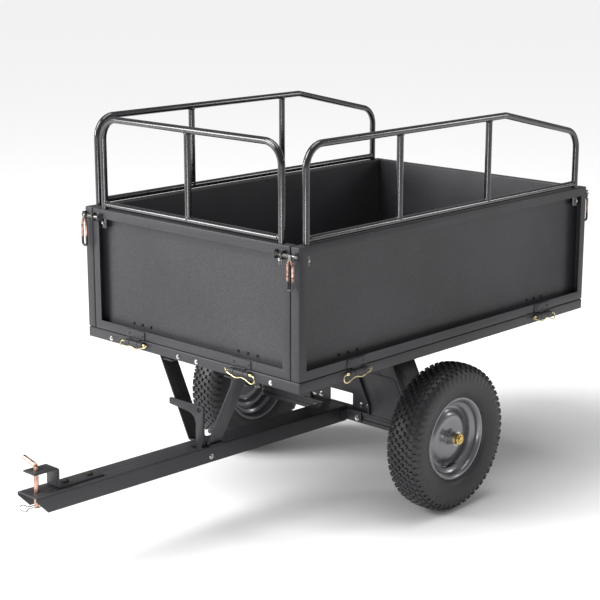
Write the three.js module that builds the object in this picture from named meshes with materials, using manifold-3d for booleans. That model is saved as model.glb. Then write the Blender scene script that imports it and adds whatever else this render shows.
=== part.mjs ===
// A tow behind dump cart: a steel drawbar and axle on two pneumatic wheels, and a flat bed
// with four hinged sides and three tube rails, which tips back on two pivot pins.
// Millimetres, +Z up. The drawbar points along -Y and the cart's left side is +X.
import * as THREE from "three";
import { mergeVertices } from "three/addons/utils/BufferGeometryUtils.js";
import Module from "manifold-3d";

const wasm = await Module();
wasm.setup();

// Driving dimensions. Lengths along Y are counted from the front face of the bed.
const BED = { length: 1200, width: 800, top: 483, skirt: 27, sheet: 2, fieldEdge: 35, fieldRise: 0.5 };
const SIDE = { height: 333, sheet: 2, lip: 25, depth: 29, endDepth: 25, lift: 1 };
const WHEEL = { y: 594, z: 204, x: 381, tyreRadius: 204, tyreHalf: 52, rimRadius: 114 };
const DRAWBAR = { nose: 520, noseTop: 238, width: 76, height: 44, wall: 4, tilt: 0.0171 };
const AXLE = { halfWidth: 300, front: 575.5, depth: 37, bottom: 178, height: 33, wall: 4 };
const PIVOT = { y: 625, z: 318, radius: 7, clearance: 0.7 };
const RAIL = { radius: 9, barRadius: 8.6, hole: 9.9, rise: 242, lowBar: 12, tail: 52, bend: 56, sides: 8 };
const SIDE_RAIL = { rise: 238, slopeStart: 818, rearRise: 159 };
const HINGE = { out: 7.3, drop: 10, radius: 7, pin: 3.6, bore: 4.4, knuckle: 34, leaf: 70 };
const HINGE_AT = { cross: 200, side: 395 };
const LATCH = { down: 22, out: 9, pin: 4, bore: 4.8, loopX: 385, loopOut: 17, wire: 2.8, keeperX: 393 };
const REAR_REACH = BED.length + LATCH.loopOut + LATCH.wire;
const GAP = 0.3;

const SIDE_TOP = BED.top + SIDE.lift + SIDE.height;
const SILL_BOTTOM = BED.top - BED.skirt;
const HALF_WIDTH = BED.width / 2;
const END_HALF = HALF_WIDTH - SIDE.depth - 1.3;

const FINISH = {
  powderCoat: { color: 0x5a5a5e, roughness: 0.55, metalness: 0.35 },
  darkCoat: { color: 0x3a3a3e, roughness: 0.5, metalness: 0.35 },
  tube: { color: 0x2c2c30, roughness: 0.28, metalness: 0.6 },
  rim: { color: 0x55565a, roughness: 0.25, metalness: 0.6 },
  tyre: { color: 0x2b2a2c, roughness: 0.85, metalness: 0 },
  zinc: { color: 0xc9c6bd, roughness: 0.35, metalness: 0.9 },
  copper: { color: 0xd7a58f, roughness: 0.3, metalness: 0.9 },
  brass: { color: 0xb8955a, roughness: 0.35, metalness: 0.9 },
};

// --- Making solids -------------------------------------------------------------------------

// A closed three.js geometry as a solid that can be joined and cut.
function solid(geometry) {
  const bare = geometry.index ? geometry.toNonIndexed() : geometry.clone();
  bare.deleteAttribute("normal");
  bare.deleteAttribute("uv");
  const merged = mergeVertices(bare, 1e-3);
  const triVerts = Uint32Array.from(merged.index.array);
  const vertProperties = Float32Array.from(merged.attributes.position.array);
  const made = new wasm.Manifold(new wasm.Mesh({ numProp: 3, vertProperties, triVerts }));
  if (made.volume() > 0) return made;
  triVerts.reverse();
  return new wasm.Manifold(new wasm.Mesh({ numProp: 3, vertProperties, triVerts }));
}

function joined(...solids) {
  return solids.reduce((sum, next) => sum.add(next));
}

function cut(body, ...tools) {
  return tools.reduce((rest, tool) => rest.subtract(tool), body);
}

// A box given by its [low, high] along X, Y and Z.
function block(x, y, z) {
  const box = new THREE.BoxGeometry(x[1] - x[0], y[1] - y[0], z[1] - z[0]);
  box.translate((x[0] + x[1]) / 2, (y[0] + y[1]) / 2, (z[0] + z[1]) / 2);
  return solid(box);
}

// A round bar between two points; six sides make a nut or a bolt head.
function rod(from, to, radius, sides = 12) {
  const start = new THREE.Vector3(...from);
  const run = new THREE.Vector3(...to).sub(start);
  const bar = new THREE.CylinderGeometry(radius, radius, run.length(), sides);
  bar.translate(0, run.length() / 2, 0);
  const up = new THREE.Vector3(0, 1, 0);
  bar.applyQuaternion(new THREE.Quaternion().setFromUnitVectors(up, run.normalize()));
  bar.translate(...from);
  return solid(bar);
}

// A sheet cut to an outline of [y, z] points, reaching from x[0] to x[1].
function sheetAlongX(outline, x) {
  const shape = new THREE.Shape(outline.map(([y, z]) => new THREE.Vector2(y, z)));
  const sheet = new THREE.ExtrudeGeometry(shape, { depth: x[1] - x[0], bevelEnabled: false });
  const axes = [new THREE.Vector3(0, 1, 0), new THREE.Vector3(0, 0, 1), new THREE.Vector3(1, 0, 0)];
  sheet.applyMatrix4(new THREE.Matrix4().makeBasis(...axes));
  sheet.translate(x[0], 0, 0);
  return solid(sheet);
}

// A sheet cut to an outline of [x, z] points, reaching from y[0] to y[1].
function sheetAlongY(outline, y) {
  const shape = new THREE.Shape(outline.map(([x, z]) => new THREE.Vector2(x, z)));
  const sheet = new THREE.ExtrudeGeometry(shape, { depth: y[1] - y[0], bevelEnabled: false });
  sheet.rotateX(Math.PI / 2);
  sheet.translate(0, y[1], 0);
  return solid(sheet);
}

// A ring or disc turned about the X axis, from a closed outline of [radius, x] points.
function turned(outline, centre, sides) {
  const closed = [...outline, outline[0]].map(([r, x]) => new THREE.Vector2(r, x));
  const lathe = new THREE.LatheGeometry(closed, sides);
  lathe.rotateZ(-Math.PI / 2);
  lathe.translate(...centre);
  return solid(lathe);
}

// A path through points whose inner corners are rounded to a bend radius.
class BentPath extends THREE.Curve {
  constructor(corners, bend, arcSteps = 6) {
    super();
    const points = corners.map((corner) => new THREE.Vector3(...corner));
    this.points = [points[0]];
    for (let i = 1; i < points.length - 1; i += 1) {
      const back = points[i - 1].clone().sub(points[i]).normalize();
      const ahead = points[i + 1].clone().sub(points[i]).normalize();
      const halfAngle = back.angleTo(ahead) / 2;
      const reach = bend / Math.tan(halfAngle);
      const towards = back.clone().add(ahead).normalize();
      const centre = points[i].clone().addScaledVector(towards, bend / Math.sin(halfAngle));
      const first = points[i].clone().addScaledVector(back, reach).sub(centre);
      const last = points[i].clone().addScaledVector(ahead, reach).sub(centre);
      const axis = first.clone().cross(last).normalize();
      const sweep = first.angleTo(last);
      for (let step = 0; step <= arcSteps; step += 1) {
        const turnedBy = first.clone().applyAxisAngle(axis, (sweep * step) / arcSteps);
        this.points.push(turnedBy.add(centre));
      }
    }
    this.points.push(points[points.length - 1]);
  }
  getPoint(t) {
    const last = this.points.length - 1;
    return this.points[Math.round(t * last)].clone();
  }
  getPointAt(t) {
    return this.getPoint(t);
  }
  getTangentAt(t) {
    const last = this.points.length - 1;
    const at = Math.round(t * last);
    const after = this.points[Math.min(at + 1, last)];
    const before = this.points[Math.max(at - 1, 0)];
    return after.clone().sub(before).normalize();
  }
}

// A round tube or wire bent along a path.
function bentTube(path, radius, sides) {
  const ring = [];
  for (let i = 0; i < sides; i += 1) {
    const angle = (2 * Math.PI * (i + 0.5)) / sides;
    ring.push(new THREE.Vector2(radius * Math.cos(angle), radius * Math.sin(angle)));
  }
  const settings = { steps: path.points.length - 1, extrudePath: path, bevelEnabled: false };
  return solid(new THREE.ExtrudeGeometry(new THREE.Shape(ring), settings));
}

// A hex bolt with its nut: the head stands on `head`, the nut against `nut`.
function boltWithNut(head, nut, radius) {
  const out = new THREE.Vector3(...head).sub(new THREE.Vector3(...nut)).normalize();
  const along = (point, reach) => new THREE.Vector3(...point).addScaledVector(out, reach).toArray();
  const shank = rod(along(nut, -radius * 2.1), along(head, 1), radius, 12);
  const headHex = rod(head, along(head, radius * 1.3), radius * 1.8, 6);
  const nutHex = rod(along(nut, -radius * 1.6), nut, radius * 1.8, 6);
  return joined(shank, headHex, nutHex);
}

function meshOf(name, body, finish) {
  const { vertProperties, triVerts } = body.getMesh();
  const geometry = new THREE.BufferGeometry();
  geometry.setAttribute("position", new THREE.BufferAttribute(vertProperties, 3));
  geometry.setIndex(new THREE.BufferAttribute(triVerts, 1));
  geometry.computeVertexNormals();
  const mesh = new THREE.Mesh(geometry, new THREE.MeshStandardMaterial(FINISH[finish]));
  mesh.name = name;
  return mesh;
}

// A solid mirrored to the other side of the cart.
function mirrored(body) {
  return body.mirror([1, 0, 0]);
}

// The two sides of the cart, as the sign of X.
const FLANKS = [
  { name: "left", sign: 1 },
  { name: "right", sign: -1 },
];

// --- Drawbar: its own frame, with Y from the nose and Z from the top face ------------------

const CROSS_BOLT = { y: 564, z: -28, radius: 6 };
const HITCH = { pinY: 28, boltY: [114, 188], plate: 5, width: 45, rise: 50, legY: 76, foot: 218 };
const CLIP = { z: -32, from: 40, eyeY: -10, eye: 10.4, wire: 1.6, roll: 0.7 };
const LEVER = { y: [537, 542], legX: [8, 38], armX: [-95, 38], armZ: [88, 112], slotY: [522, 546] };
const DRAWBAR_LENGTH = DRAWBAR.nose + AXLE.front - 1;

// An inverted channel whose flanges are cut back at the nose.
function drawbarChannel() {
  const half = DRAWBAR.width / 2;
  const { height, wall } = DRAWBAR;
  const outline = [
    [0, 0],
    [0, -10],
    [34, -height],
    [DRAWBAR_LENGTH, -height],
    [DRAWBAR_LENGTH, 0],
  ];
  const outer = sheetAlongX(outline, [-half, half]);
  const inside = block([wall - half, half - wall], [-1, DRAWBAR_LENGTH + 1], [-height - 1, -wall]);
  const pinHole = rod([0, HITCH.pinY, -10], [0, HITCH.pinY, 5], 7.2);
  const boltHoles = HITCH.boltY.map((at) => rod([0, at, -10], [0, at, 5], 5.8));
  const { y, z } = CROSS_BOLT;
  const crossHole = rod([-half - 5, y, z], [half + 5, y, z], 6.8);
  const slotX = [LEVER.legX[0] - 3, half - wall];
  const leverSlot = block(slotX, LEVER.slotY, [-10, 5]);
  return cut(outer, inside, pinHole, ...boltHoles, crossHole, leverSlot);
}

// The bent plate that makes a clevis over the nose of the drawbar.
function hitchBracket() {
  const { rise, plate, legY, foot, width } = HITCH;
  const outline = [
    [7, rise + plate],
    [legY + plate, rise + plate],
    [legY + plate, GAP + plate],
    [foot, GAP + plate],
    [foot, GAP],
    [legY, GAP],
    [legY, rise],
    [7, rise],
  ];
  const bent = sheetAlongX(outline, [-width / 2, width / 2]);
  const pinHole = rod([0, HITCH.pinY, rise - 5], [0, HITCH.pinY, rise + 12], 7.2);
  const boltHoles = HITCH.boltY.map((y) => rod([0, y, -5], [0, y, 12], 5.8));
  return cut(bent, pinHole, ...boltHoles);
}

function hitchBolt(y) {
  return boltWithNut([0, y, HITCH.plate + 2 * GAP], [0, y, -DRAWBAR.wall - GAP], 5);
}

// The drop pin, bent over at the top as its own handle, cross drilled for the clip.
function hitchPin() {
  const y = HITCH.pinY;
  const path = new BentPath([[0, y, -39], [0, y, 67], [-48, y, 78]], 8, 5);
  const clipHole = rod([0, y - 12, CLIP.z], [0, y + 12, CLIP.z], 2.2, 8);
  return cut(bentTube(path, 6, 12), clipHole);
}

// A wire clip: a straight leg through the pin and a round eye to pull it forward by.
function hitchClip() {
  const leg = rod([0, CLIP.from, CLIP.z], [0, CLIP.eyeY + CLIP.eye - 1, CLIP.z], 1.3, 8);
  const eye = new THREE.TorusGeometry(CLIP.eye, CLIP.wire, 6, 16);
  eye.rotateY(CLIP.roll);
  eye.translate(0, CLIP.eyeY, CLIP.z);
  return joined(leg, solid(eye));
}

function drawbarCrossBolt() {
  const half = DRAWBAR.width / 2;
  const { y, z, radius } = CROSS_BOLT;
  return boltWithNut([half + GAP, y, z], [-half - GAP, y, z], radius);
}

// The foot lever: a cut plate with an arm, a leg and a sleeve that turns on the cross bolt.
function footLever() {
  const [x0, x1] = LEVER.legX;
  const [z0, z1] = LEVER.armZ;
  const { y, z } = CROSS_BOLT;
  const outline = [
    [LEVER.armX[0], z0 + 6],
    [x0 - 22, z0],
    [x0 - 6, z0 - 10],
    [x0, z0 - 26],
    [x0, z - 6],
    [x1 - 8, z - 6],
    [x1 - 8, 8],
    [x1, 18],
    [x1, z1 - 4],
    [x1 - 4, z1],
    [LEVER.armX[0], z1],
  ];
  const plate = sheetAlongY(outline, LEVER.y);
  const eye = rod([x1 - 16, LEVER.y[0] - 5, z1 - 12], [x1 - 16, LEVER.y[1] + 5, z1 - 12], 6);
  const web = block([x0, x0 + 8], [LEVER.y[0], y], [z - 6, z + 6]);
  const sleeve = rod([x0, y, z], [x0 + 20, y, z], 11);
  const bore = rod([x0 - 5, y, z], [x0 + 25, y, z], 6.9);
  return cut(joined(plate, web, sleeve), eye, bore);
}

// The outer shape of the lever's coil spring, beside its sleeve on the cross bolt.
function leverSpring() {
  const outline = [
    [7.2, -11],
    [10.5, -11],
    [10.5, 11],
    [7.2, 11],
  ];
  return turned(outline, [LEVER.legX[0] - 13, CROSS_BOLT.y, CROSS_BOLT.z], 16);
}

// --- Axle ----------------------------------------------------------------------------------

function axleBeam() {
  const { halfWidth, front, depth, bottom, height, wall } = AXLE;
  const outer = block([-halfWidth, halfWidth], [front, front + depth], [bottom, bottom + height]);
  const insideY = [front + wall, front + depth - wall];
  const inside = block([-halfWidth - 1, halfWidth + 1], insideY, [bottom - 1, bottom + height - wall]);
  return cut(outer, inside);
}

// The stub axle: a plate on the end of the beam and the shaft that the wheel turns on.
function axleStub() {
  const { y, z } = WHEEL;
  const x = AXLE.halfWidth + GAP;
  const plate = block([x, x + 6], [y - 22, y + 22], [AXLE.bottom, z + 20]);
  return joined(plate, rod([x + 3, y, z], [WHEEL.x + 55, y, z], 10, 24));
}

// The castle nut that holds the wheel on its shaft.
function axleNut() {
  const from = WHEEL.x + 41;
  const hex = rod([from, WHEEL.y, WHEEL.z], [from + 10, WHEEL.y, WHEEL.z], 17, 6);
  const bore = rod([from - 2, WHEEL.y, WHEEL.z], [from + 14, WHEEL.y, WHEEL.z], 10.6, 24);
  return cut(hex, bore);
}

const STAND = { foot: [124, 283], knee: 239, top: 372, lean: 0.521, wall: 4, depth: 84 };

// The stand: a pressed channel that leans inwards from the beam and holds a pivot pin.
function axleStand() {
  const { foot, knee, top, lean, wall, depth } = STAND;
  const bottom = AXLE.bottom + AXLE.height + GAP;
  const shift = (top - knee) * lean;
  const band = (x0, x1) => [
    [x0, bottom],
    [x1, bottom],
    [x1, knee],
    [x1 - shift, top],
    [x0 - shift, top],
    [x0, knee],
  ];
  const web = sheetAlongY(band(foot[0], foot[1]), [AXLE.front, AXLE.front + wall]);
  const flangeY = [AXLE.front, AXLE.front + depth];
  const inner = sheetAlongY(band(foot[0], foot[0] + wall), flangeY);
  const outer = sheetAlongY(band(foot[1] - wall, foot[1]), flangeY);
  const bore = rod([0, PIVOT.y, PIVOT.z], [320, PIVOT.y, PIVOT.z], PIVOT.radius + PIVOT.clearance);
  return cut(joined(web, inner, outer), bore);
}

const TIE = { y: [592, 596], opening: 44, soffit: 252, top: 360 };

// The plate between the two stands, with an opening over the end of the drawbar.
function standTie() {
  const { y, opening, soffit, top } = TIE;
  const bottom = AXLE.bottom + AXLE.height + GAP;
  const shift = (top - STAND.knee) * STAND.lean;
  const edge = STAND.foot[0] - GAP;
  const half = [
    [edge - shift, top],
    [edge, STAND.knee],
    [edge, bottom],
    [opening, bottom],
    [opening, soffit],
  ];
  const across = ([x, z]) => [-x, z];
  return sheetAlongY([...half, ...half.map(across).reverse()], y);
}

const BRACKET = { sideLeg: 26, backLeg: 56, wall: 4, z: [181, 211] };

// The angle that fixes the back of the drawbar to the axle beam.
function drawbarBracket() {
  const { sideLeg, backLeg, wall, z } = BRACKET;
  const x = DRAWBAR.width / 2 + GAP;
  const front = AXLE.front - GAP;
  const along = block([x, x + wall], [front - sideLeg, front], z);
  const behind = block([x, x + backLeg], [front - wall, front], z);
  return joined(along, behind);
}

function pivotPin() {
  const { y, z, radius } = PIVOT;
  const shaft = rod([72, y, z], [254, y, z], radius);
  return joined(shaft, rod([254, y, z], [260, y, z], 12, 16));
}

// --- Wheels: turned about X, outline points are [radius, x from the wheel's middle plane] --

function tyre() {
  const r = WHEEL.tyreRadius;
  const half = WHEEL.tyreHalf;
  const outer = [
    [103.2, -32.5],
    [114.5, -32.5],
    [150, -half],
    [r - 12, -half + 10],
    [r, -18],
  ];
  const inner = [
    [r - 14, -18],
    [168, -40],
    [128, -30],
    [104, -22],
  ];
  const across = ([radius, x]) => [radius, -x];
  const outline = [
    ...outer,
    ...outer.map(across).reverse(),
    ...inner.map(across).reverse(),
    ...inner,
  ];
  return turned(outline, [0, 0, 0], 40);
}

// The pressed rim: two bead flanges, a drop centre and a dished disc with a centre hole.
function rim() {
  const outline = [
    [WHEEL.rimRadius, 36],
    [WHEEL.rimRadius, 33.2],
    [102.5, 33],
    [101.5, 22],
    [88, 14],
    [88, -14],
    [101.5, -22],
    [102.5, -33],
    [WHEEL.rimRadius, -33.2],
    [WHEEL.rimRadius, -36],
    [100, -36],
    [98, -22],
    [84.5, -14],
    [84.5, 0],
    [60, 12],
    [21.5, 12],
    [21.5, 15],
    [61, 15],
    [84.5, 4],
    [84.5, 14],
    [98, 22],
    [100, 36],
  ];
  const valveHole = rod(valvePoint(-10), valvePoint(14), 4.7, 8);
  return cut(turned(outline, [0, 0, 0], 28), valveHole);
}

// A point on the valve's slanted axis, so far from where it passes the drop centre.
function valvePoint(reach) {
  return [12 + 0.807 * reach, 0, 0.59 * reach - 86];
}

function hub() {
  const outline = [
    [10.6, -42],
    [18, -42],
    [18, 8],
    [21, 8],
    [21, 18],
    [18, 18],
    [18, 40],
    [10.6, 40],
  ];
  return turned(outline, [0, 0, 0], 24);
}

function valveStem() {
  const stem = rod(valvePoint(-7), valvePoint(30), 3.4, 8);
  return joined(stem, rod(valvePoint(12), valvePoint(17), 5.4, 10));
}

// --- Bed -----------------------------------------------------------------------------------

const EDGES = ["front", "rear", "left", "right"];

// A solid made for the front edge of the bed, moved to another edge.
function onEdge(body, edge) {
  const middle = BED.length / 2;
  if (edge === "front") return body;
  if (edge === "rear") return body.mirror([0, 1, 0]).translate([0, BED.length, 0]);
  const onLeft = body.rotate([0, 0, 90]).translate([HALF_WIDTH, middle, 0]);
  return edge === "left" ? onLeft : mirrored(onLeft);
}

function hingePlaces(edge) {
  const reach = edge === "front" || edge === "rear" ? HINGE_AT.cross : HINGE_AT.side;
  return [-reach, reach];
}

// The two fixed knuckles of one hinge, standing on the skirt.
function fixedKnuckles(x) {
  const { out, drop, radius, bore, knuckle } = HINGE;
  const z = BED.top - drop;
  const ends = [-1, 1].map((way) => {
    const near = x + way * (knuckle / 2 + 0.5);
    const far = near + way * 17;
    const span = [Math.min(near, far), Math.max(near, far)];
    return joined(rod([near, -out, z], [far, -out, z], radius), block(span, [-out, 1], [z - 5, z + 5]));
  });
  const pinBore = rod([x - 60, -out, z], [x + 60, -out, z], bore, 12);
  return ends.map((end) => cut(end, pinBore));
}

// The floor sheet with its skirt turned down all round, its shallow pressed field inside the
// sides, and the fixed hinge knuckles.
function bedPan() {
  const { length, width, top, skirt, sheet, fieldEdge, fieldRise } = BED;
  const outer = block([-width / 2, width / 2], [0, length], [top - skirt, top]);
  const wall = 4;
  const insideX = [wall - width / 2, width / 2 - wall];
  const inside = block(insideX, [wall, length - wall], [top - skirt - 1, top - sheet]);
  const fieldX = [fieldEdge - width / 2, width / 2 - fieldEdge];
  const field = block(fieldX, [fieldEdge, length - fieldEdge], [top - sheet, top + fieldRise]);
  const knuckles = EDGES.flatMap((edge) =>
    hingePlaces(edge).flatMap((x) => fixedKnuckles(x).map((end) => onEdge(end, edge))),
  );
  return joined(cut(outer, inside), field, ...knuckles);
}

function hingePin(x) {
  const z = BED.top - HINGE.drop;
  const shaft = rod([x - 42, -HINGE.out, z], [x + 44, -HINGE.out, z], HINGE.pin, 10);
  return joined(shaft, rod([x + 36, -HINGE.out, z], [x + 40, -HINGE.out, z], 6.2, 12));
}

// A folded channel with its open side down, from its [low, high] along X, Y and Z.
function channel(x, y, z, along) {
  const wall = 4;
  const shrink = ([low, high]) => [low + wall, high - wall];
  const past = ([low, high]) => [low - 1, high + 1];
  const insideX = along === "x" ? past(x) : shrink(x);
  const insideY = along === "x" ? shrink(y) : past(y);
  return cut(block(x, y, z), block(insideX, insideY, [z[0] - 1, z[1] - wall]));
}

const UNDER = { top: BED.top - BED.sheet - GAP, bottom: 438, crossY: 46, crossDepth: 40 };
const BED_RAIL = { x: [262, 302] };

function crossMember(y, halfWidth) {
  const z = [UNDER.bottom, UNDER.top];
  return channel([-halfWidth, halfWidth], [y, y + UNDER.crossDepth], z, "x");
}

function bedRail() {
  const front = UNDER.crossY + UNDER.crossDepth + GAP;
  return channel(BED_RAIL.x, [front, BED.length - front], [UNDER.bottom, UNDER.top], "y");
}

const EARS = [
  [120, 125],
  [195, 200],
];

// The bed's half of a pivot: a plate under the middle cross member with two ears.
function pivotBracket() {
  const { y, z, radius, clearance } = PIVOT;
  const top = UNDER.bottom - GAP;
  const plate = block([EARS[0][0], EARS[1][1]], [y - 20, y + 20], [top - 4, top]);
  const ears = EARS.map((x) => {
    const upright = block(x, [y - 20, y + 20], [z, top]);
    return joined(upright, rod([x[0], y, z], [x[1], y, z], 20, 16));
  });
  const bore = rod([100, y, z], [220, y, z], radius + clearance);
  return cut(joined(plate, ...ears), bore);
}

const BRACE = { y: [32, 83], topX: 152, footX: 38, wall: 5, footZ: 229.6 };

// One strap of the V brace: it rises to the sill and bolts up under the cross member.
function braceStrap() {
  const { topX, footX, wall, y, footZ } = BRACE;
  const top = SILL_BOTTOM - GAP;
  const low = footZ + wall + GAP;
  const outline = [
    [footX, low],
    [topX, top],
    [topX - wall - 1, top],
    [footX - wall - 1, low],
  ];
  const shelf = UNDER.bottom - GAP;
  const strap = sheetAlongY(outline, y);
  const flange = block([topX - 55, topX - 12], y, [shelf - wall, shelf]);
  const room = block([0, topX + 20], [UNDER.crossY - GAP, y[1] + 10], [shelf, top + 10]);
  return joined(cut(strap, room), flange);
}

function braceFoot() {
  const { footX, wall, y, footZ } = BRACE;
  return block([-footX - 6, footX + 6], [y[0] + 5, y[1]], [footZ, footZ + wall]);
}

// --- Sides: made for the front edge, outer face at y = 0 and middle at x = 0 ---------------

// A sheet whose edges are folded out and then in again, like a picture frame.
function foldedTray(halfLength, depth) {
  const { sheet, lip } = SIDE;
  const low = BED.top + SIDE.lift;
  const x = [-halfLength, halfLength];
  const cavityX = [x[0] + sheet, x[1] - sheet];
  const cavity = block(cavityX, [sheet, depth - sheet], [low + sheet, SIDE_TOP - sheet]);
  const window = block([x[0] + lip, x[1] - lip], [-1, sheet + 1], [low + lip, SIDE_TOP - lip]);
  return cut(block(x, [0, depth], [low, SIDE_TOP]), cavity, window);
}

// The moving leaf of a hinge: a strap on the lower lip and one knuckle.
function hingeLeaf(x) {
  const { out, drop, radius, bore, knuckle, leaf } = HINGE;
  const z = BED.top - drop;
  const narrow = knuckle / 2 - 0.5;
  const strap = block([x - leaf / 2, x + leaf / 2], [-3, 0.5], [BED.top + 2, BED.top + 24]);
  const neck = block([x - narrow, x + narrow], [-3, -GAP], [z, BED.top + 4]);
  const barrel = rod([x - narrow, -out, z], [x + narrow, -out, z], radius);
  const pinBore = rod([x - 40, -out, z], [x + 40, -out, z], bore, 12);
  return cut(joined(strap, neck, barrel), pinBore);
}

function postHoles(places, depth) {
  return places.map((x) => rod([x, depth / 2, SIDE_TOP - 8], [x, depth / 2, SIDE_TOP + 8], RAIL.hole));
}

const END_POSTS = [-330, 0, 330];
const SIDE_POSTS = [-562, -220, 145, 558];

// The barrel of a corner latch, with a bore for its pin.
function latchBarrel() {
  const z = SIDE_TOP - LATCH.down;
  const body = block([328, 356], [-LATCH.out - 7, 0.5], [z - 9, z + 9]);
  return cut(body, rod([320, -LATCH.out, z], [370, -LATCH.out, z], LATCH.bore));
}

// The keeper on the end of a side: a fork that is open towards the front.
function latchKeeper() {
  const z = SIDE_TOP - LATCH.down;
  const x = [LATCH.keeperX, LATCH.keeperX + 4];
  const plate = block(x, [-LATCH.out - LATCH.pin - 0.5, 1], [z - 10, z + 10]);
  return cut(plate, block([x[0] - 1, x[1] + 1], [-40, -LATCH.out + 5], [z - 5, z + 5]));
}

function endSide(posts) {
  const tray = foldedTray(END_HALF, SIDE.endDepth);
  const leaves = hingePlaces("front").map(hingeLeaf);
  const barrels = [latchBarrel(), mirrored(latchBarrel())];
  return cut(joined(tray, ...leaves, ...barrels), ...postHoles(posts, SIDE.endDepth));
}

// A long side, built along X and then carried to the left edge of the bed.
function longSide() {
  const tray = foldedTray(BED.length / 2, SIDE.depth);
  const leaves = hingePlaces("left").map(hingeLeaf);
  const body = cut(joined(tray, ...leaves), ...postHoles(SIDE_POSTS, SIDE.depth));
  const keepers = [latchKeeper(), onEdge(latchKeeper(), "rear")];
  return joined(onEdge(body, "left"), ...keepers);
}

// --- Rails ---------------------------------------------------------------------------------

function post(x, y, top) {
  return rod([x, y, SIDE_TOP - RAIL.tail], [x, y, top], RAIL.radius, RAIL.sides);
}

function frontRail() {
  const y = SIDE.endDepth / 2;
  const [left, middle, right] = END_POSTS;
  const top = SIDE_TOP + RAIL.rise;
  const base = SIDE_TOP - RAIL.tail;
  const corners = [[left, y, base], [left, y, top], [right, y, top], [right, y, base]];
  const hoop = bentTube(new BentPath(corners, RAIL.bend), RAIL.radius, RAIL.sides);
  const low = SIDE_TOP + RAIL.lowBar;
  const bar = rod([left, y, low], [right, y, low], RAIL.barRadius, RAIL.sides);
  return joined(hoop, bar, post(middle, y, top));
}

// A side rail: level for two thirds of its length, then sloping down to a low rear post.
function sideRail() {
  const x = HALF_WIDTH - SIDE.depth / 2;
  const places = SIDE_POSTS.map((along) => BED.length / 2 + along);
  const top = SIDE_TOP + SIDE_RAIL.rise;
  const base = SIDE_TOP - RAIL.tail;
  const rearTop = SIDE_TOP + SIDE_RAIL.rearRise;
  const corners = [
    [x, places[0], base],
    [x, places[0], top],
    [x, SIDE_RAIL.slopeStart, top],
    [x, places[3], rearTop],
    [x, places[3], base],
  ];
  const hoop = bentTube(new BentPath(corners, RAIL.bend), RAIL.radius, RAIL.sides);
  const low = SIDE_TOP + RAIL.lowBar;
  const bar = rod([x, places[0], low], [x, places[3], low], RAIL.barRadius, RAIL.sides);
  return joined(hoop, bar, post(x, places[1], top), post(x, places[2], top));
}

// A latch pin with the long wire loop that it is pulled by.
function latchPin() {
  const z = SIDE_TOP - LATCH.down;
  const { loopX, loopOut, wire, out } = LATCH;
  const pin = rod([332, -out, z], [400, -out, z], LATCH.pin);
  const stub = rod([loopX, -out, z], [loopX, -loopOut, z], wire, 8);
  const corners = [
    [loopX, -loopOut, z + 1],
    [loopX - 13, -loopOut, z - 24],
    [loopX - 13, -loopOut, z - 82],
    [loopX + 13, -loopOut, z - 82],
    [loopX + 13, -loopOut, z - 24],
    [loopX, -loopOut, z + 1],
  ];
  return joined(pin, stub, bentTube(new BentPath(corners, 9, 3), wire, 6));
}

// --- Assembly ------------------------------------------------------------------------------

// Everything bolted to the drawbar, in the drawbar's own tilted frame.
function drawbarGroup() {
  const group = new THREE.Group();
  group.position.set(0, -DRAWBAR.nose, DRAWBAR.noseTop);
  group.rotation.x = -DRAWBAR.tilt;
  group.add(
    meshOf("drawbar", drawbarChannel(), "powderCoat"),
    meshOf("hitch_bracket", hitchBracket(), "powderCoat"),
    meshOf("hitch_bolt_front", hitchBolt(HITCH.boltY[0]), "zinc"),
    meshOf("hitch_bolt_rear", hitchBolt(HITCH.boltY[1]), "zinc"),
    meshOf("hitch_pin", hitchPin(), "copper"),
    meshOf("hitch_clip", hitchClip(), "zinc"),
    meshOf("drawbar_cross_bolt", drawbarCrossBolt(), "zinc"),
    meshOf("foot_lever", footLever(), "darkCoat"),
    meshOf("lever_spring", leverSpring(), "zinc"),
  );
  return group;
}

function wheelGroup(flank) {
  const group = new THREE.Group();
  group.position.set(flank.sign * WHEEL.x, WHEEL.y, WHEEL.z);
  const facing = (body) => (flank.sign > 0 ? body : mirrored(body));
  group.add(
    meshOf("tyre_" + flank.name, tyre(), "tyre"),
    meshOf("rim_" + flank.name, facing(rim()), "rim"),
    meshOf("hub_" + flank.name, facing(hub()), "rim"),
    meshOf("valve_stem_" + flank.name, facing(valveStem()), "tyre"),
  );
  return group;
}

// The pieces that come in a left and a right copy.
function flankGroup(flank) {
  const group = new THREE.Group();
  const facing = (body) => (flank.sign > 0 ? body : mirrored(body));
  const pair = (name, body, finish) => group.add(meshOf(name + "_" + flank.name, facing(body), finish));
  pair("axle_stub", axleStub(), "zinc");
  pair("axle_nut", axleNut(), "brass");
  pair("axle_stand", axleStand(), "powderCoat");
  pair("drawbar_bracket", drawbarBracket(), "darkCoat");
  pair("pivot_pin", pivotPin(), "zinc");
  pair("pivot_bracket", pivotBracket(), "darkCoat");
  pair("bed_rail", bedRail(), "darkCoat");
  pair("brace_strap", braceStrap(), "darkCoat");
  pair("side_panel", longSide(), "powderCoat");
  pair("side_rail", sideRail(), "tube");
  pair("front_latch", latchPin(), "copper");
  pair("rear_latch", onEdge(latchPin(), "rear"), "copper");
  return group;
}

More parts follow.
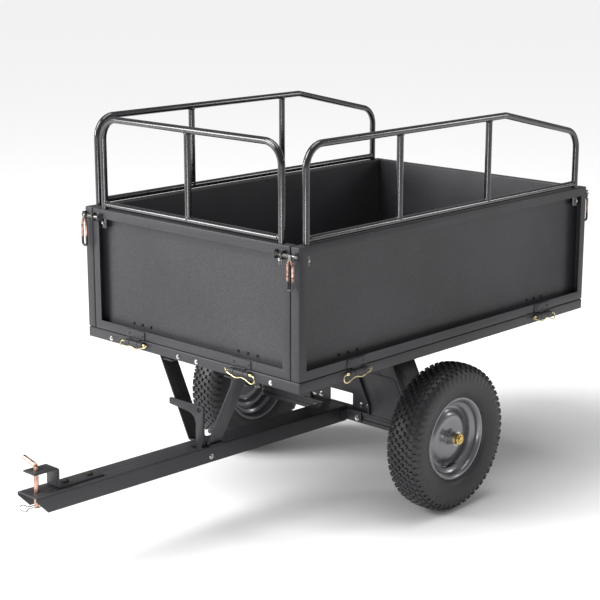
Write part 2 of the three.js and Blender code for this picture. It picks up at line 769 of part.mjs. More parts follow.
function bedGroup() {
  const group = new THREE.Group();
  const rearCross = BED.length - UNDER.crossY - UNDER.crossDepth;
  const middle = PIVOT.y - UNDER.crossDepth / 2;
  group.add(
    meshOf("bed_pan", bedPan(), "powderCoat"),
    meshOf("front_cross_member", crossMember(UNDER.crossY, 390), "darkCoat"),
    meshOf("middle_cross_member", crossMember(middle, BED_RAIL.x[0] - GAP), "darkCoat"),
    meshOf("rear_cross_member", crossMember(rearCross, 390), "darkCoat"),
    meshOf("brace_foot", braceFoot(), "darkCoat"),
    meshOf("front_panel", endSide(END_POSTS), "powderCoat"),
    meshOf("tailgate", onEdge(endSide([]), "rear"), "powderCoat"),
    meshOf("front_rail", frontRail(), "tube"),
  );
  for (const edge of EDGES) {
    hingePlaces(edge).forEach((x, index) => {
      group.add(meshOf("hinge_pin_" + edge + "_" + (index + 1), onEdge(hingePin(x), edge), "zinc"));
    });
  }
  return group;
}

// The clip's eye is the foremost piece and the rear latch loops are the rearmost.
const FRONT_REACH = DRAWBAR.nose - CLIP.eyeY + CLIP.eye + CLIP.wire - CLIP.z * DRAWBAR.tilt;

const cart = new THREE.Group();
cart.position.y = (FRONT_REACH - REAR_REACH) / 2;
cart.add(drawbarGroup(), bedGroup());
cart.add(meshOf("axle_beam", axleBeam(), "powderCoat"), meshOf("stand_tie", standTie(), "powderCoat"));
for (const flank of FLANKS) {
  cart.add(wheelGroup(flank), flankGroup(flank));
}

const towBehindCart = new THREE.Group();
towBehindCart.add(cart);

export default towBehindCart;
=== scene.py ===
"""The looks of a tow behind dump cart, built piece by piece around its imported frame."""

import math

import bmesh
import bpy
from mathutils import Matrix, Vector


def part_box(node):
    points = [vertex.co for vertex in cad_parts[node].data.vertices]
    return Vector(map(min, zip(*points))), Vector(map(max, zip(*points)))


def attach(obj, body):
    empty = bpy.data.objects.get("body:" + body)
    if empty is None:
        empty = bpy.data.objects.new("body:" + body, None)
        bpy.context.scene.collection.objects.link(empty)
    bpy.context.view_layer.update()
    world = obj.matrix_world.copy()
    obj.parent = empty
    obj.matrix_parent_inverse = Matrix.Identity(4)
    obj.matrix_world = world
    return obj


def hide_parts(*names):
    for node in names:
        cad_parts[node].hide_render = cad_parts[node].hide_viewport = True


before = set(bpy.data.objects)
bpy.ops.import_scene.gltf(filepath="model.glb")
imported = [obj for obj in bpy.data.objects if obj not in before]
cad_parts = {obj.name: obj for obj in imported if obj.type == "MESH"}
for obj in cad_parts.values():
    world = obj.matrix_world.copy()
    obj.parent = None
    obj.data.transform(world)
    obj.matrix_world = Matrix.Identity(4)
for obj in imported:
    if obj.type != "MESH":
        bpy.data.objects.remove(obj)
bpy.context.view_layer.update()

# ---- Camera, floor and studio light ------------------------------------------------------
# The cart stands on a pale studio floor. A long lens looks down on its front left corner,
# and soft boxes light it from the front, from above and from behind, under one wide light.

MM = 0.001
bed_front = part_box("front_panel")[1].y - 25 * MM


def spot(x, y, z):
    """A point in millimetres from the middle of the bed's front edge, down on the ground."""
    return Vector((x * MM, bed_front + y * MM, z * MM))


camera_data = bpy.data.cameras.new("camera")
camera_data.sensor_width = 36
camera_data.lens = 94.7
camera = bpy.data.objects.new("camera", camera_data)
bpy.context.scene.collection.objects.link(camera)
bpy.context.scene.camera = camera
camera.location = spot(2917, -2628, 1581)
turn, dip = math.radians(43.74), math.radians(13.74)
sight = Vector((-math.sin(turn) * math.cos(dip), math.cos(turn) * math.cos(dip), -math.sin(dip)))
camera.rotation_euler = sight.to_track_quat("-Z", "Y").to_euler()


def soft_box(name, place, aim, size, power):
    """A studio box light; places and sizes in metres."""
    light = bpy.data.lights.new(name, "AREA")
    light.shape = "RECTANGLE"
    light.size, light.size_y = size
    light.energy = power
    lamp = bpy.data.objects.new(name, light)
    bpy.context.scene.collection.objects.link(lamp)
    lamp.location = place
    lamp.rotation_euler = (Vector(aim) - Vector(place)).to_track_quat("-Z", "Y").to_euler()


soft_box("front_box", (-3.0, -3.8, 1.9), (0, 0, 0.6), (2.0, 1.6), 170)
soft_box("top_box", (0.4, 0.2, 4.2), (0, 0.1, 0.4), (2.4, 2.4), 70)
soft_box("rear_box", (3.4, 4.4, 2.6), (0.2, 0.2, 0.6), (1.0, 1.6), 45)
soft_box("low_box", (1.7, -3.0, 0.35), (0, -0.7, 0.22), (0.8, 0.4), 16)

wide_light = bpy.data.lights.new("wide_light", "SUN")
wide_light.energy = 3.5
wide_light.angle = math.radians(35)
wide_lamp = bpy.data.objects.new("wide_light", wide_light)
bpy.context.scene.collection.objects.link(wide_lamp)
wide_lamp.rotation_euler = Vector((0.3, 0.66, -0.72)).to_track_quat("-Z", "Y").to_euler()

world = bpy.data.worlds.new("studio")
bpy.context.scene.world = world
world.use_nodes = True
backdrop = world.node_tree.nodes["Background"]
backdrop.inputs["Color"].default_value = (1, 1, 1, 1)
backdrop.inputs["Strength"].default_value = 0.26
bpy.context.scene.view_settings.view_transform = "Standard"

floor_mesh = bpy.data.meshes.new("floor")
reach = 60
floor_corners = [(-reach, -reach, 0), (reach, -reach, 0), (reach, reach, 0), (-reach, reach, 0)]
floor_mesh.from_pydata(floor_corners, [], [(0, 1, 2, 3)])
floor = bpy.data.objects.new("floor", floor_mesh)
bpy.context.scene.collection.objects.link(floor)
floor.location.z = -0.0005
floor_finish = bpy.data.materials.new("floor")
floor_finish.use_nodes = True
floor_shader = floor_finish.node_tree.nodes["Principled BSDF"]
floor_shader.inputs["Base Color"].default_value = (0.94, 0.94, 0.94, 1)
floor_shader.inputs["Roughness"].default_value = 0.6
floor_mesh.materials.append(floor_finish)

# ---- Drawbar -----------------------------------------------------------------------------
# An inverted channel of 4 mm steel, folded at both top edges and cut back under the nose.
# It is powder coated charcoal after it is punched for the pin, the bracket and the lever.


class Signal:
    """One output of a material's nodes, to be used in arithmetic."""

    def __init__(self, finish, socket):
        self.finish = finish
        self.socket = socket

    def maths(self, operation, first, second):
        return self.finish.maths(operation, first, second)

    def __add__(self, other):
        return self.maths("ADD", self, other)

    def __radd__(self, other):
        return self.maths("ADD", other, self)

    def __sub__(self, other):
        return self.maths("SUBTRACT", self, other)

    def __rsub__(self, other):
        return self.maths("SUBTRACT", other, self)

    def __mul__(self, other):
        return self.maths("MULTIPLY", self, other)

    def __rmul__(self, other):
        return self.maths("MULTIPLY", other, self)


class Finish:
    """A material whose constants sit on the shader and whose patterns come from nodes."""

    def __init__(self, name, **constants):
        self.material = bpy.data.materials.new(name)
        self.material.use_nodes = True
        self.tree = self.material.node_tree
        self.shader = self.tree.nodes["Principled BSDF"]
        for socket, value in constants.items():
            self.shader.inputs[socket.replace("_", " ")].default_value = value
        self.place = self.node("ShaderNodeTexCoord", {}, {}, "Object")

    def node(self, kind, settings, sockets, output=0):
        """A node with its settings made first, then its sockets set or linked."""
        made = self.tree.nodes.new(kind)
        for name, value in settings.items():
            if name == "stops":
                for element, (position, colour) in zip(made.color_ramp.elements, value):
                    element.position = position
                    element.color = (*colour, 1)
            else:
                setattr(made, name, value)
        for name, value in sockets.items():
            self.feed(made.inputs[name], value)
        return Signal(self, made.outputs[output])

    def feed(self, socket, value):
        if isinstance(value, Signal):
            self.tree.links.new(value.socket, socket)
        else:
            socket.default_value = value

    def maths(self, operation, first, second=0.0):
        return self.node("ShaderNodeMath", {"operation": operation}, {0: first, 1: second})

    def noise(self, scale, detail):
        sockets = {"Vector": self.place, "Scale": scale, "Detail": detail}
        return self.node("ShaderNodeTexNoise", {}, sockets)

    def ramp(self, value, low, high):
        """Two colours run together between two values; each end is (value, colour)."""
        return self.node("ShaderNodeValToRGB", {"stops": [low, high]}, {"Fac": value})

    def paint(self, socket, value):
        self.feed(self.shader.inputs[socket], value)

    def relief(self, height, strength, distance):
        sockets = {"Height": height, "Strength": strength, "Distance": distance}
        self.paint("Normal", self.node("ShaderNodeBump", {}, sockets))


def powder_coat(name, dark, light, roughness):
    """Baked powder: a fine orange peel, a soft drift of tone and faint rubbed patches."""
    coat = Finish(name, Metallic=0.0, Specular_IOR_Level=0.3)
    drift = coat.noise(2.2, 3.0)
    speckle = coat.noise(420.0, 2.0)
    rubbed = coat.noise(26.0, 6.0)
    coat.paint("Base Color", coat.ramp(0.45 * drift + 0.55 * speckle, (0.38, dark), (0.62, light)))
    coat.paint("Roughness", roughness - 0.05 + 0.14 * rubbed + 0.03 * speckle)
    coat.relief(coat.noise(620.0, 2.0) + 0.5 * coat.noise(210.0, 1.0), 0.22, 0.0003)
    return coat.material


charcoal = powder_coat("charcoal_powder_coat", (0.0195, 0.019, 0.0212), (0.0455, 0.044, 0.049), 0.38)

BAR = {"nose": 520, "top": 238, "half": 38, "height": 44, "wall": 4, "tilt": 0.0171, "length": 1094.5}
BAR_NOSE_HEIGHT, BAR_TAPER = 10, 34
PIN_ALONG, PIN_BORE = 28, 7.2


def on_bar(x, along, above):
    """A point of the drawbar, from its nose and its top face, which falls towards the axle."""
    y = along * math.cos(BAR["tilt"]) + above * math.sin(BAR["tilt"])
    z = above * math.cos(BAR["tilt"]) - along * math.sin(BAR["tilt"])
    return spot(x, y - BAR["nose"], z + BAR["top"])


def shade(piece, material, angle=32):
    """Smooth shading with sharp folds, and one material all over."""
    mesh = piece.data
    mesh.materials.clear()
    mesh.materials.append(material)
    mesh.polygons.foreach_set("material_index", [0] * len(mesh.polygons))
    mesh.polygons.foreach_set("use_smooth", [True] * len(mesh.polygons))
    mesh.set_sharp_from_angle(angle=math.radians(angle))
    mesh.update()


def settle(piece):
    """Turns a piece's modifiers into plain mesh."""
    graph = bpy.context.evaluated_depsgraph_get()
    mesh = bpy.data.meshes.new_from_object(piece.evaluated_get(graph))
    piece.modifiers.clear()
    piece.data = mesh


def linked(name, mesh):
    """A new object in the scene."""
    piece = bpy.data.objects.new(name, mesh)
    bpy.context.scene.collection.objects.link(piece)
    return piece


def made_solid(name, shape):
    """A new object from a finished bmesh, its faces turned outwards."""
    bmesh.ops.recalc_face_normals(shape, faces=shape.faces)
    mesh = bpy.data.meshes.new(name)
    shape.to_mesh(mesh)
    shape.free()
    return linked(name, mesh)


def from_faces(name, polygons):
    """A mesh object from polygons of points; points that meet are one vertex."""
    shape = bmesh.new()
    for polygon in polygons:
        shape.faces.new([shape.verts.new(point) for point in polygon])
    bmesh.ops.remove_doubles(shape, verts=shape.verts, dist=1e-6)
    return made_solid(name, shape)


def pressed(name, polygons, wall, bend=0.0, holes=(), edge=0.5):
    """Steel sheet folded along its shared edges: `wall` thick, `bend` the fold radius, in mm."""
    piece = from_faces(name, polygons)
    if bend:
        fold = piece.modifiers.new("fold", "BEVEL")
        fold.width = bend * MM
        fold.segments = 4
        fold.angle_limit = math.radians(20)
    sheet = piece.modifiers.new("sheet", "SOLIDIFY")
    sheet.thickness = wall * MM
    sheet.offset = 0
    sheet.use_even_offset = True
    settle(piece)
    if holes:
        drill(piece, holes)
    if edge:
        rim = piece.modifiers.new("rim", "BEVEL")
        rim.width = edge * MM
        rim.segments = 2
        rim.angle_limit = math.radians(50)
        settle(piece)
    return piece


def punch(piece, tools):
    """Cuts the shapes of other objects out of a piece, and removes those objects."""
    for tool in tools:
        cut = piece.modifiers.new("cut", "BOOLEAN")
        cut.object = tool
        cut.solver = "EXACT"
    settle(piece)
    for tool in tools:
        bpy.data.objects.remove(tool)


def drill(piece, holes):
    """Cuts round holes, each from one point to another with a radius in millimetres."""
    punch(piece, [rod("bit", [start, end], radius, 24) for start, end, radius in holes])


def bridge(shape, rings, closed):
    """Faces between neighbouring rings of vertices, and back to the first ring if closed."""
    pairs = list(zip(rings, rings[1:]))
    if closed:
        pairs.append((rings[-1], rings[0]))
    for near, far in pairs:
        for step in range(len(near)):
            after = (step + 1) % len(near)
            shape.faces.new((near[step], near[after], far[after], far[step]))


def rod(name, route, radius, sides=20, chamfer=0.0, closed=False):
    """A round bar, tube or wire along a route, with chamfered ends; radius in millimetres."""
    radii = [radius * MM] * len(route)
    points = [Vector(point) for point in route]
    if chamfer:
        first = (points[0] - points[1]).normalized() * chamfer * MM
        last = (points[-1] - points[-2]).normalized() * chamfer * MM
        points = [points[0], points[0] - first, *points[1:-1], points[-1] - last, points[-1]]
        radii = [radii[0] - chamfer * MM, radii[0], *radii[1:-1], radii[-1], radii[-1] - chamfer * MM]
    shape = bmesh.new()
    rings = []
    across = None
    count = len(points)
    for index, (point, size) in enumerate(zip(points, radii)):
        ahead = points[(index + 1) % count] if closed else points[min(index + 1, count - 1)]
        behind = points[index - 1] if closed else points[max(index - 1, 0)]
        along = (ahead - behind).normalized()
        if across is None:
            across = along.orthogonal().normalized()
        across = (across - along * across.dot(along)).normalized()
        beside = along.cross(across)
        ring = []
        for step in range(sides):
            angle = 2 * math.pi * step / sides
            out = math.cos(angle) * across + math.sin(angle) * beside
            ring.append(shape.verts.new(point + size * out))
        rings.append(ring)
    bridge(shape, rings, closed)
    if not closed:
        shape.faces.new(list(reversed(rings[0])))
        shape.faces.new(rings[-1])
    return made_solid(name, shape)


def fit(piece, body, material, slot, *nodes, angle=32):
    """Finishes a piece: its material, the body it rides on and the nodes it stands for."""
    shade(piece, material, angle)
    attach(piece, body)
    if nodes:
        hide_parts(*nodes)
    return piece


half = BAR["half"] - BAR["wall"] / 2
roof = -BAR["wall"] / 2
end = BAR["length"]
web = [(-half, 0), (half, 0), (half, end), (-half, end)]
bar_faces = [[on_bar(x, along, roof) for x, along in web]]
low_edge = -BAR["height"]
flange = [(0, roof), (0, -BAR_NOSE_HEIGHT), (BAR_TAPER, low_edge), (end, low_edge), (end, roof)]
for x in (-half, half):
    bar_faces.append([on_bar(x, along, above) for along, above in flange])
pin_hole = (on_bar(0, PIN_ALONG, -12), on_bar(0, PIN_ALONG, 8), PIN_BORE)
drawbar = pressed("drawbar_channel", bar_faces, BAR["wall"], 2.4, [pin_hole])
slot_plan = [(5, 522), (33.5, 522), (33.5, 546), (5, 546)]
low, high = ([on_bar(x, along, above) for x, along in slot_plan] for above in (-9, 3))
slot_faces = [low, high]
for index in range(4):
    after = (index + 1) % 4
    slot_faces.append([low[index], low[after], high[after], high[index]])
punch(drawbar, [from_faces("lever_slot", slot_faces)])
fit(drawbar, "chassis", charcoal, "powder_coat", "drawbar")

# ---- Hitch bracket -----------------------------------------------------------------------
# A strap of 5 mm steel, bent twice so that its upper leaf stands over the nose as a clevis.
# Two bolts clamp its foot to the drawbar, and both leaves are punched for the drop pin.

strap_half = 22.5
strap_fold = [(7, 52.5), (78.5, 52.5), (78.5, 2.8), (218, 2.8)]
bracket_faces = []
for start, stop in zip(strap_fold, strap_fold[1:]):
    left = [on_bar(-strap_half, *start), on_bar(strap_half, *start)]
    bracket_faces.append([*left, on_bar(strap_half, *stop), on_bar(-strap_half, *stop)])
leaf_hole = (on_bar(0, PIN_ALONG, 44), on_bar(0, PIN_ALONG, 62), PIN_BORE)
bracket = pressed("hitch_strap", bracket_faces, 5, 6, [leaf_hole], 0.8)
fit(bracket, "chassis", charcoal, "powder_coat", "hitch_bracket")

# ---- Bolts -------------------------------------------------------------------------------
# Plated hex bolts with washers hold the cart together. A head is a hexagon with a chamfered
# crown on a round washer; a nut is the same with the end of the thread standing out of it.

zinc = Finish("zinc_plate", Metallic=1.0)
cloud = zinc.noise(90.0, 3.0)
zinc.paint("Base Color", zinc.ramp(cloud, (0.35, (0.3, 0.3, 0.3)), (0.68, (0.74, 0.74, 0.72))))
zinc.paint("Roughness", 0.16 + 0.2 * cloud)
zinc.relief(zinc.noise(700.0, 2.0), 0.12, 0.0002)
zinc_plate = zinc.material

blackened = Finish("blackened_bolt", Metallic=0.8)
oil = blackened.noise(120.0, 3.0)
tones = (0.35, (0.03, 0.029, 0.027)), (0.66, (0.11, 0.1, 0.075))
blackened.paint("Base Color", blackened.ramp(oil, *tones))
blackened.paint("Roughness", 0.22 + 0.25 * oil)
dark_zinc = blackened.material


class Recipe:
    """A geometry tree with named inputs, built node by node."""

    def __init__(self, name, **inputs):
        self.tree = bpy.data.node_groups.new(name, "GeometryNodeTree")
        self.tree.interface.new_socket("Geometry", in_out="INPUT", socket_type="NodeSocketGeometry")
        self.keys = {}
        for label, (kind, default) in inputs.items():
            socket = self.tree.interface.new_socket(label, in_out="INPUT", socket_type=kind)
            if default is not None:
                socket.default_value = default
            self.keys[label] = socket.identifier
        self.tree.interface.new_socket("Geometry", in_out="OUTPUT", socket_type="NodeSocketGeometry")
        self.given = self.tree.nodes.new("NodeGroupInput").outputs

    def node(self, kind, settings, sockets, output=0):
        made = self.tree.nodes.new(kind)
        for name, value in settings.items():
            setattr(made, name, value)
        for name, value in sockets.items():
            if isinstance(value, bpy.types.NodeSocket):
                self.tree.links.new(value, made.inputs[name])
            elif isinstance(value, list):
                for link in value:
                    self.tree.links.new(link, made.inputs[name])
            else:
                made.inputs[name].default_value = value
        return made.outputs[output]

    def times(self, value, factor):
        return self.node("ShaderNodeMath", {"operation": "MULTIPLY"}, {0: value, 1: factor})

    def deliver(self, geometry):
        """Ends the tree: plain mesh in the given finish."""
        whole = self.node("GeometryNodeRealizeInstances", {}, {"Geometry": geometry})
        coat = {"Geometry": whole, "Material": self.given["Finish"]}
        painted = self.node("GeometryNodeSetMaterial", {}, coat)
        self.tree.links.new(painted, self.tree.nodes.new("NodeGroupOutput").inputs[0])

    def apply(self, piece, **values):
        stage = piece.modifiers.new(self.tree.name, "NODES")
        stage.node_group = self.tree
        for label, value in values.items():
            stage[self.keys[label]] = value
        settle(piece)


bolting = Recipe(
    "bolt_heads",
    Radius=("NodeSocketFloat", 0.008),
    Height=("NodeSocketFloat", 0.005),
    Thread=("NodeSocketFloat", 0.001),
    Finish=("NodeSocketMaterial", None),
)
radius_in, height_in = bolting.given["Radius"], bolting.given["Height"]


def disc_of(sides, radius, depth):
    sizes = {"Vertices": sides, "Radius": radius, "Depth": depth}
    return bolting.node("GeometryNodeMeshCylinder", {}, sizes)


washer_thick = 0.0014
washer = disc_of(28, bolting.times(radius_in, 1.28), washer_thick)
lower = disc_of(6, radius_in, bolting.times(height_in, 0.8))
crown_sizes = {
    "Vertices": 6,
    "Radius Top": bolting.times(radius_in, 0.82),
    "Radius Bottom": radius_in,
    "Depth": bolting.times(height_in, 0.2),
}
crown = bolting.node("GeometryNodeMeshCone", {}, crown_sizes)
thread = disc_of(18, bolting.times(radius_in, 0.5), bolting.given["Thread"])


def lifted(mesh, height):
    shift = bolting.node("ShaderNodeCombineXYZ", {}, {"Z": height})
    return bolting.node("GeometryNodeTransform", {}, {"Geometry": mesh, "Translation": shift})


stack = [
    lifted(washer, washer_thick / 2),
    lifted(lower, bolting.times(height_in, 0.4)),
    lifted(crown, bolting.times(height_in, 0.8)),
    lifted(thread, height_in),
]
head = bolting.node("GeometryNodeJoinGeometry", {}, {"Geometry": stack})
vector = {"data_type": "FLOAT_VECTOR"}
facing = bolting.node("GeometryNodeInputNamedAttribute", vector, {"Name": "facing"})
aimed = bolting.node("FunctionNodeAlignRotationToVector", {"axis": "Z"}, {"Vector": facing})
placing = {"Points": bolting.given["Geometry"], "Instance": head, "Rotation": aimed}
bolting.deliver(bolting.node("GeometryNodeInstanceOnPoints", {}, placing))


def marked_out(name, points, **vectors):
    """Loose points, each with a vector under every given name, to put copies on."""
    mesh = bpy.data.meshes.new(name)
    mesh.from_pydata(points, [], [])
    for label, values in vectors.items():
        store = mesh.attributes.new(label, "FLOAT_VECTOR", "POINT")
        for item, value in zip(store.data, values):
            item.vector = value
    return linked(name, mesh)


def bolts(
    name, body, places, radius, height, slot="zinc_steel", thread=0.4, nodes=(), finish=None, shanks=()
):
    """Hex heads at (point, facing) places; sizes in millimetres."""
    points, facings = zip(*places)
    piece = marked_out(name, points, facing=facings)
    material = finish or zinc_plate
    sizes = {"Radius": radius * MM, "Height": height * MM, "Thread": thread * 2 * MM}
    bolting.apply(piece, **sizes, Finish=material)
    join(piece, [rod("shank", ends, radius * 0.55, 16) for ends in shanks])
    return fit(piece, body, material, slot, *nodes)


def join(piece, others):
    """Adds the other pieces' meshes to the first."""
    shape = bmesh.new()
    shape.from_mesh(piece.data)
    for other in others:
        shape.from_mesh(other.data)
        bpy.data.objects.remove(other)
    mesh = bpy.data.meshes.new(piece.name)
    shape.to_mesh(mesh)
    shape.free()
    piece.data = mesh
    return piece


up = on_bar(0, 0, 1) - on_bar(0, 0, 0)
up.normalize()
for node, along in (("hitch_bolt_front", 114), ("hitch_bolt_rear", 188)):
    places = [(on_bar(0, along, 5.4), up), (on_bar(0, along, -4.3), -up)]
    shank = [on_bar(0, along, -10), on_bar(0, along, 6)]
    fixing = {"nodes": [node], "finish": dark_zinc, "shanks": [shank]}
    bolts(node + "_set", "chassis", places, 8.4, 6, "dark_coat", **fixing)

# ---- Hitch pin ---------------------------------------------------------------------------
# A 12 mm round bar, bent over at the top for a hand, copper plated and worn bright.
# It drops through both leaves, and is cross drilled near its foot for the clip.


def bent(corners, bend, steps=8):
    """A route through corner points, each inner corner rounded to a bend radius in millimetres."""
    points = [Vector(corner) for corner in corners]
    route = [points[0]]
    for before, corner, after in zip(points, points[1:], points[2:]):
        back = (before - corner).normalized()
        ahead = (after - corner).normalized()
        half_angle = back.angle(ahead) / 2
        centre = corner + (back + ahead).normalized() * bend * MM / math.sin(half_angle)
        reach = bend * MM / math.tan(half_angle)
        first = corner + back * reach - centre
        last = corner + ahead * reach - centre
        axis = first.cross(last).normalized()
        sweep = first.angle(last)
        for step in range(steps + 1):
            route.append(centre + Matrix.Rotation(sweep * step / steps, 3, axis) @ first)
    route.append(points[-1])
    return route


copper = Finish("copper_plate", Metallic=1.0)
tarnish = copper.noise(60.0, 5.0)
copper.paint("Base Color", copper.ramp(tarnish, (0.3, (0.36, 0.2, 0.15)), (0.62, (0.7, 0.45, 0.35))))
copper.paint("Roughness", 0.2 + 0.3 * copper.noise(140.0, 3.0))
copper.relief(copper.noise(420.0, 3.0), 0.15, 0.0002)
copper_plate = copper.material
pin_points = [on_bar(0, PIN_ALONG, -39), on_bar(0, PIN_ALONG, 67), on_bar(-48, PIN_ALONG, 78)]
pin = rod("drop_pin", bent(pin_points, 9), 6, 28, 1.5)
CLIP_ABOVE = -32
drill(pin, [(on_bar(0, PIN_ALONG - 18, CLIP_ABOVE), on_bar(0, PIN_ALONG + 18, CLIP_ABOVE), 2.0)])
fit(pin, "hitch_pin", copper_plate, "copper_steel", "hitch_pin")

# ---- Hitch clip --------------------------------------------------------------------------
# One length of spring wire: a straight leg through the pin, a round eye to pull, and an arm
# that comes back and grips the pin from outside.

eye_radius, eye_along, eye_steps, roll = 9.8, -10, 24, 0.7
clip_shape = [(40, 0), (12, 0)]
for step in range(eye_steps + 1):
    angle = math.radians(10 + 320 * step / eye_steps)
    clip_shape.append((eye_along + math.cos(angle) * eye_radius, -math.sin(angle) * eye_radius))
clip_shape += [(6, 4.4), (14, 5.2), (21, 8.2), (28, 9.0), (35, 8.0), (38, 9.4)]
clip_route = []
for along, side in clip_shape:
    clip_route.append(on_bar(side * math.cos(roll), along, CLIP_ABOVE - side * math.sin(roll)))
clip = rod("spring_clip", clip_route, 1.3, 10, 0.4)
fit(clip, "hitch_clip", zinc_plate, "zinc_steel", "hitch_clip", angle=60)

# ---- Foot lever --------------------------------------------------------------------------
# A cranked plate of 5 mm steel with a sleeve welded on, which turns on the cross bolt.
# Pushed forwards by a foot, it unhooks the bed so that the bed can tip.


def soften(corners, radius, steps=5):
    """A closed outline with every corner rounded, as far as its sides allow."""
    points = [Vector(corner) for corner in corners]
    outline = []
    for index, corner in enumerate(points):
        before, after = points[index - 1], points[(index + 1) % len(points)]
        back, ahead = before - corner, after - corner
        half_angle = back.angle(ahead) / 2
        reach = min(radius * MM / math.tan(half_angle), 0.45 * min(back.length, ahead.length))
        first = corner + back.normalized() * reach
        last = corner + ahead.normalized() * reach
        for step in range(steps + 1):
            t = step / steps
            outline.append((1 - t) ** 2 * first + 2 * t * (1 - t) * corner + t**2 * last)
    return outline


dark_coat = powder_coat("black_powder_coat", (0.009, 0.009, 0.01), (0.021, 0.021, 0.024), 0.36)
LEVER_AXIS = (564, -28)
lever_face = [(-95, 94), (-14, 88), (2, 78), (8, 62), (8, -34), (30, -34)]
lever_face += [(30, 8), (38, 18), (38, 108), (34, 112), (-95, 112)]
lever_outline = soften([on_bar(x, 539.5, above) for x, above in lever_face], 6)
toe_hole = (on_bar(22, 530, 100), on_bar(22, 550, 100), 6)
lever = pressed("lever_plate", [lever_outline], 5, holes=[toe_hole], edge=0.8)
sleeve = rod("lever_sleeve", [on_bar(8, *LEVER_AXIS), on_bar(28, *LEVER_AXIS)], 11, 28, 0.8)
gusset = [on_bar(12, along, above) for along, above in ((542, -34), (555, -34), (555, -22), (542, -22))]
tail = bent([on_bar(-30, 545.5, 86), on_bar(-4, 545.5, 82), on_bar(3, 547, 62), on_bar(3.4, 552, 9)], 9)
join(lever, [sleeve, pressed("lever_gusset", [gusset], 8), rod("lever_wire", tail, 1.5, 10, 0.3)])
fit(lever, "foot_lever", dark_coat, "powder_coat", "foot_lever")

# ---- Cross bolt and lever spring ---------------------------------------------------------
# The bolt runs from side to side through the drawbar. A coil of spring wire beside the
# lever's sleeve pushes the lever back; the wire's end, made with the lever, lies along it.

across = Vector((1, 0, 0))
places = [(on_bar(38.2, *LEVER_AXIS), across), (on_bar(-38.2, *LEVER_AXIS), -across)]
shank = [on_bar(-44, *LEVER_AXIS), on_bar(44, *LEVER_AXIS)]
bolts("cross_bolt", "chassis", places, 5.6, 4, nodes=["drawbar_cross_bolt"], shanks=[shank])
coil_radius, coil_turns, steps_a_turn = 8.8, 6, 16
coil = []
for step in range(coil_turns * steps_a_turn + 1):
    angle = 2 * math.pi * step / steps_a_turn
    x = -15.4 + 20.8 * step / (coil_turns * steps_a_turn)
    along = LEVER_AXIS[0] + coil_radius * math.cos(angle)
    coil.append(on_bar(x, along, LEVER_AXIS[1] + coil_radius * math.sin(angle)))
spring = rod("lever_coil", coil, 1.5, 8, 0.3)
fit(spring, "chassis", zinc_plate, "zinc_steel", "lever_spring", angle=60)

# ---- Axle beam, stands and drawbar angles ------------------------------------------------
# The beam is folded with its open side down and a groove along its front. On it stand two
# channels that lean inwards, pressed with a raised panel and turned lips and tied by a
# plate. Two angles fix the drawbar's end to the beam's front.

AXLE_Y, AXLE_Z = 594, 204
PIVOT_Y, PIVOT_Z = 625, 318
BEAM_HALF, BEAM_TOP = 300, 211.3

beam_fold = [(577, 178), (577, 186.5), (580.8, 189), (580.8, 200), (577, 202.5)]
beam_fold += [(577, 209.5), (611, 209.5), (611, 178)]
beam_faces = []
for low, high in zip(beam_fold, beam_fold[1:]):
    near = [spot(-BEAM_HALF, *low), spot(BEAM_HALF, *low)]
    beam_faces.append([*near, spot(BEAM_HALF, *high), spot(-BEAM_HALF, *high)])
beam = pressed("beam_channel", beam_faces, 3, 1.2)
fit(beam, "chassis", charcoal, "powder_coat", "axle_beam")

half_tie = [(60.7, 360), (123.7, 239), (123.7, BEAM_TOP), (44, BEAM_TOP), (44, 252)]
tie_outline = half_tie + [(-x, z) for x, z in reversed(half_tie)]
tie = pressed("tie_plate", [soften([spot(x, AXLE_Y, z) for x, z in tie_outline], 3)], 4, edge=0.8)
fit(tie, "chassis", charcoal, "powder_coat", "stand_tie")

KNEE, STAND_TOP, LEAN = 239, 372, 0.521
STAND_X, STAND_Y, STAND_BACK = (126, 281), 577.5, 659.5
ANGLE_X, ANGLE_Y, ANGLE_Z = 40.3, 573.2, (181, 211)
forwards = Vector((0, -1, 0))

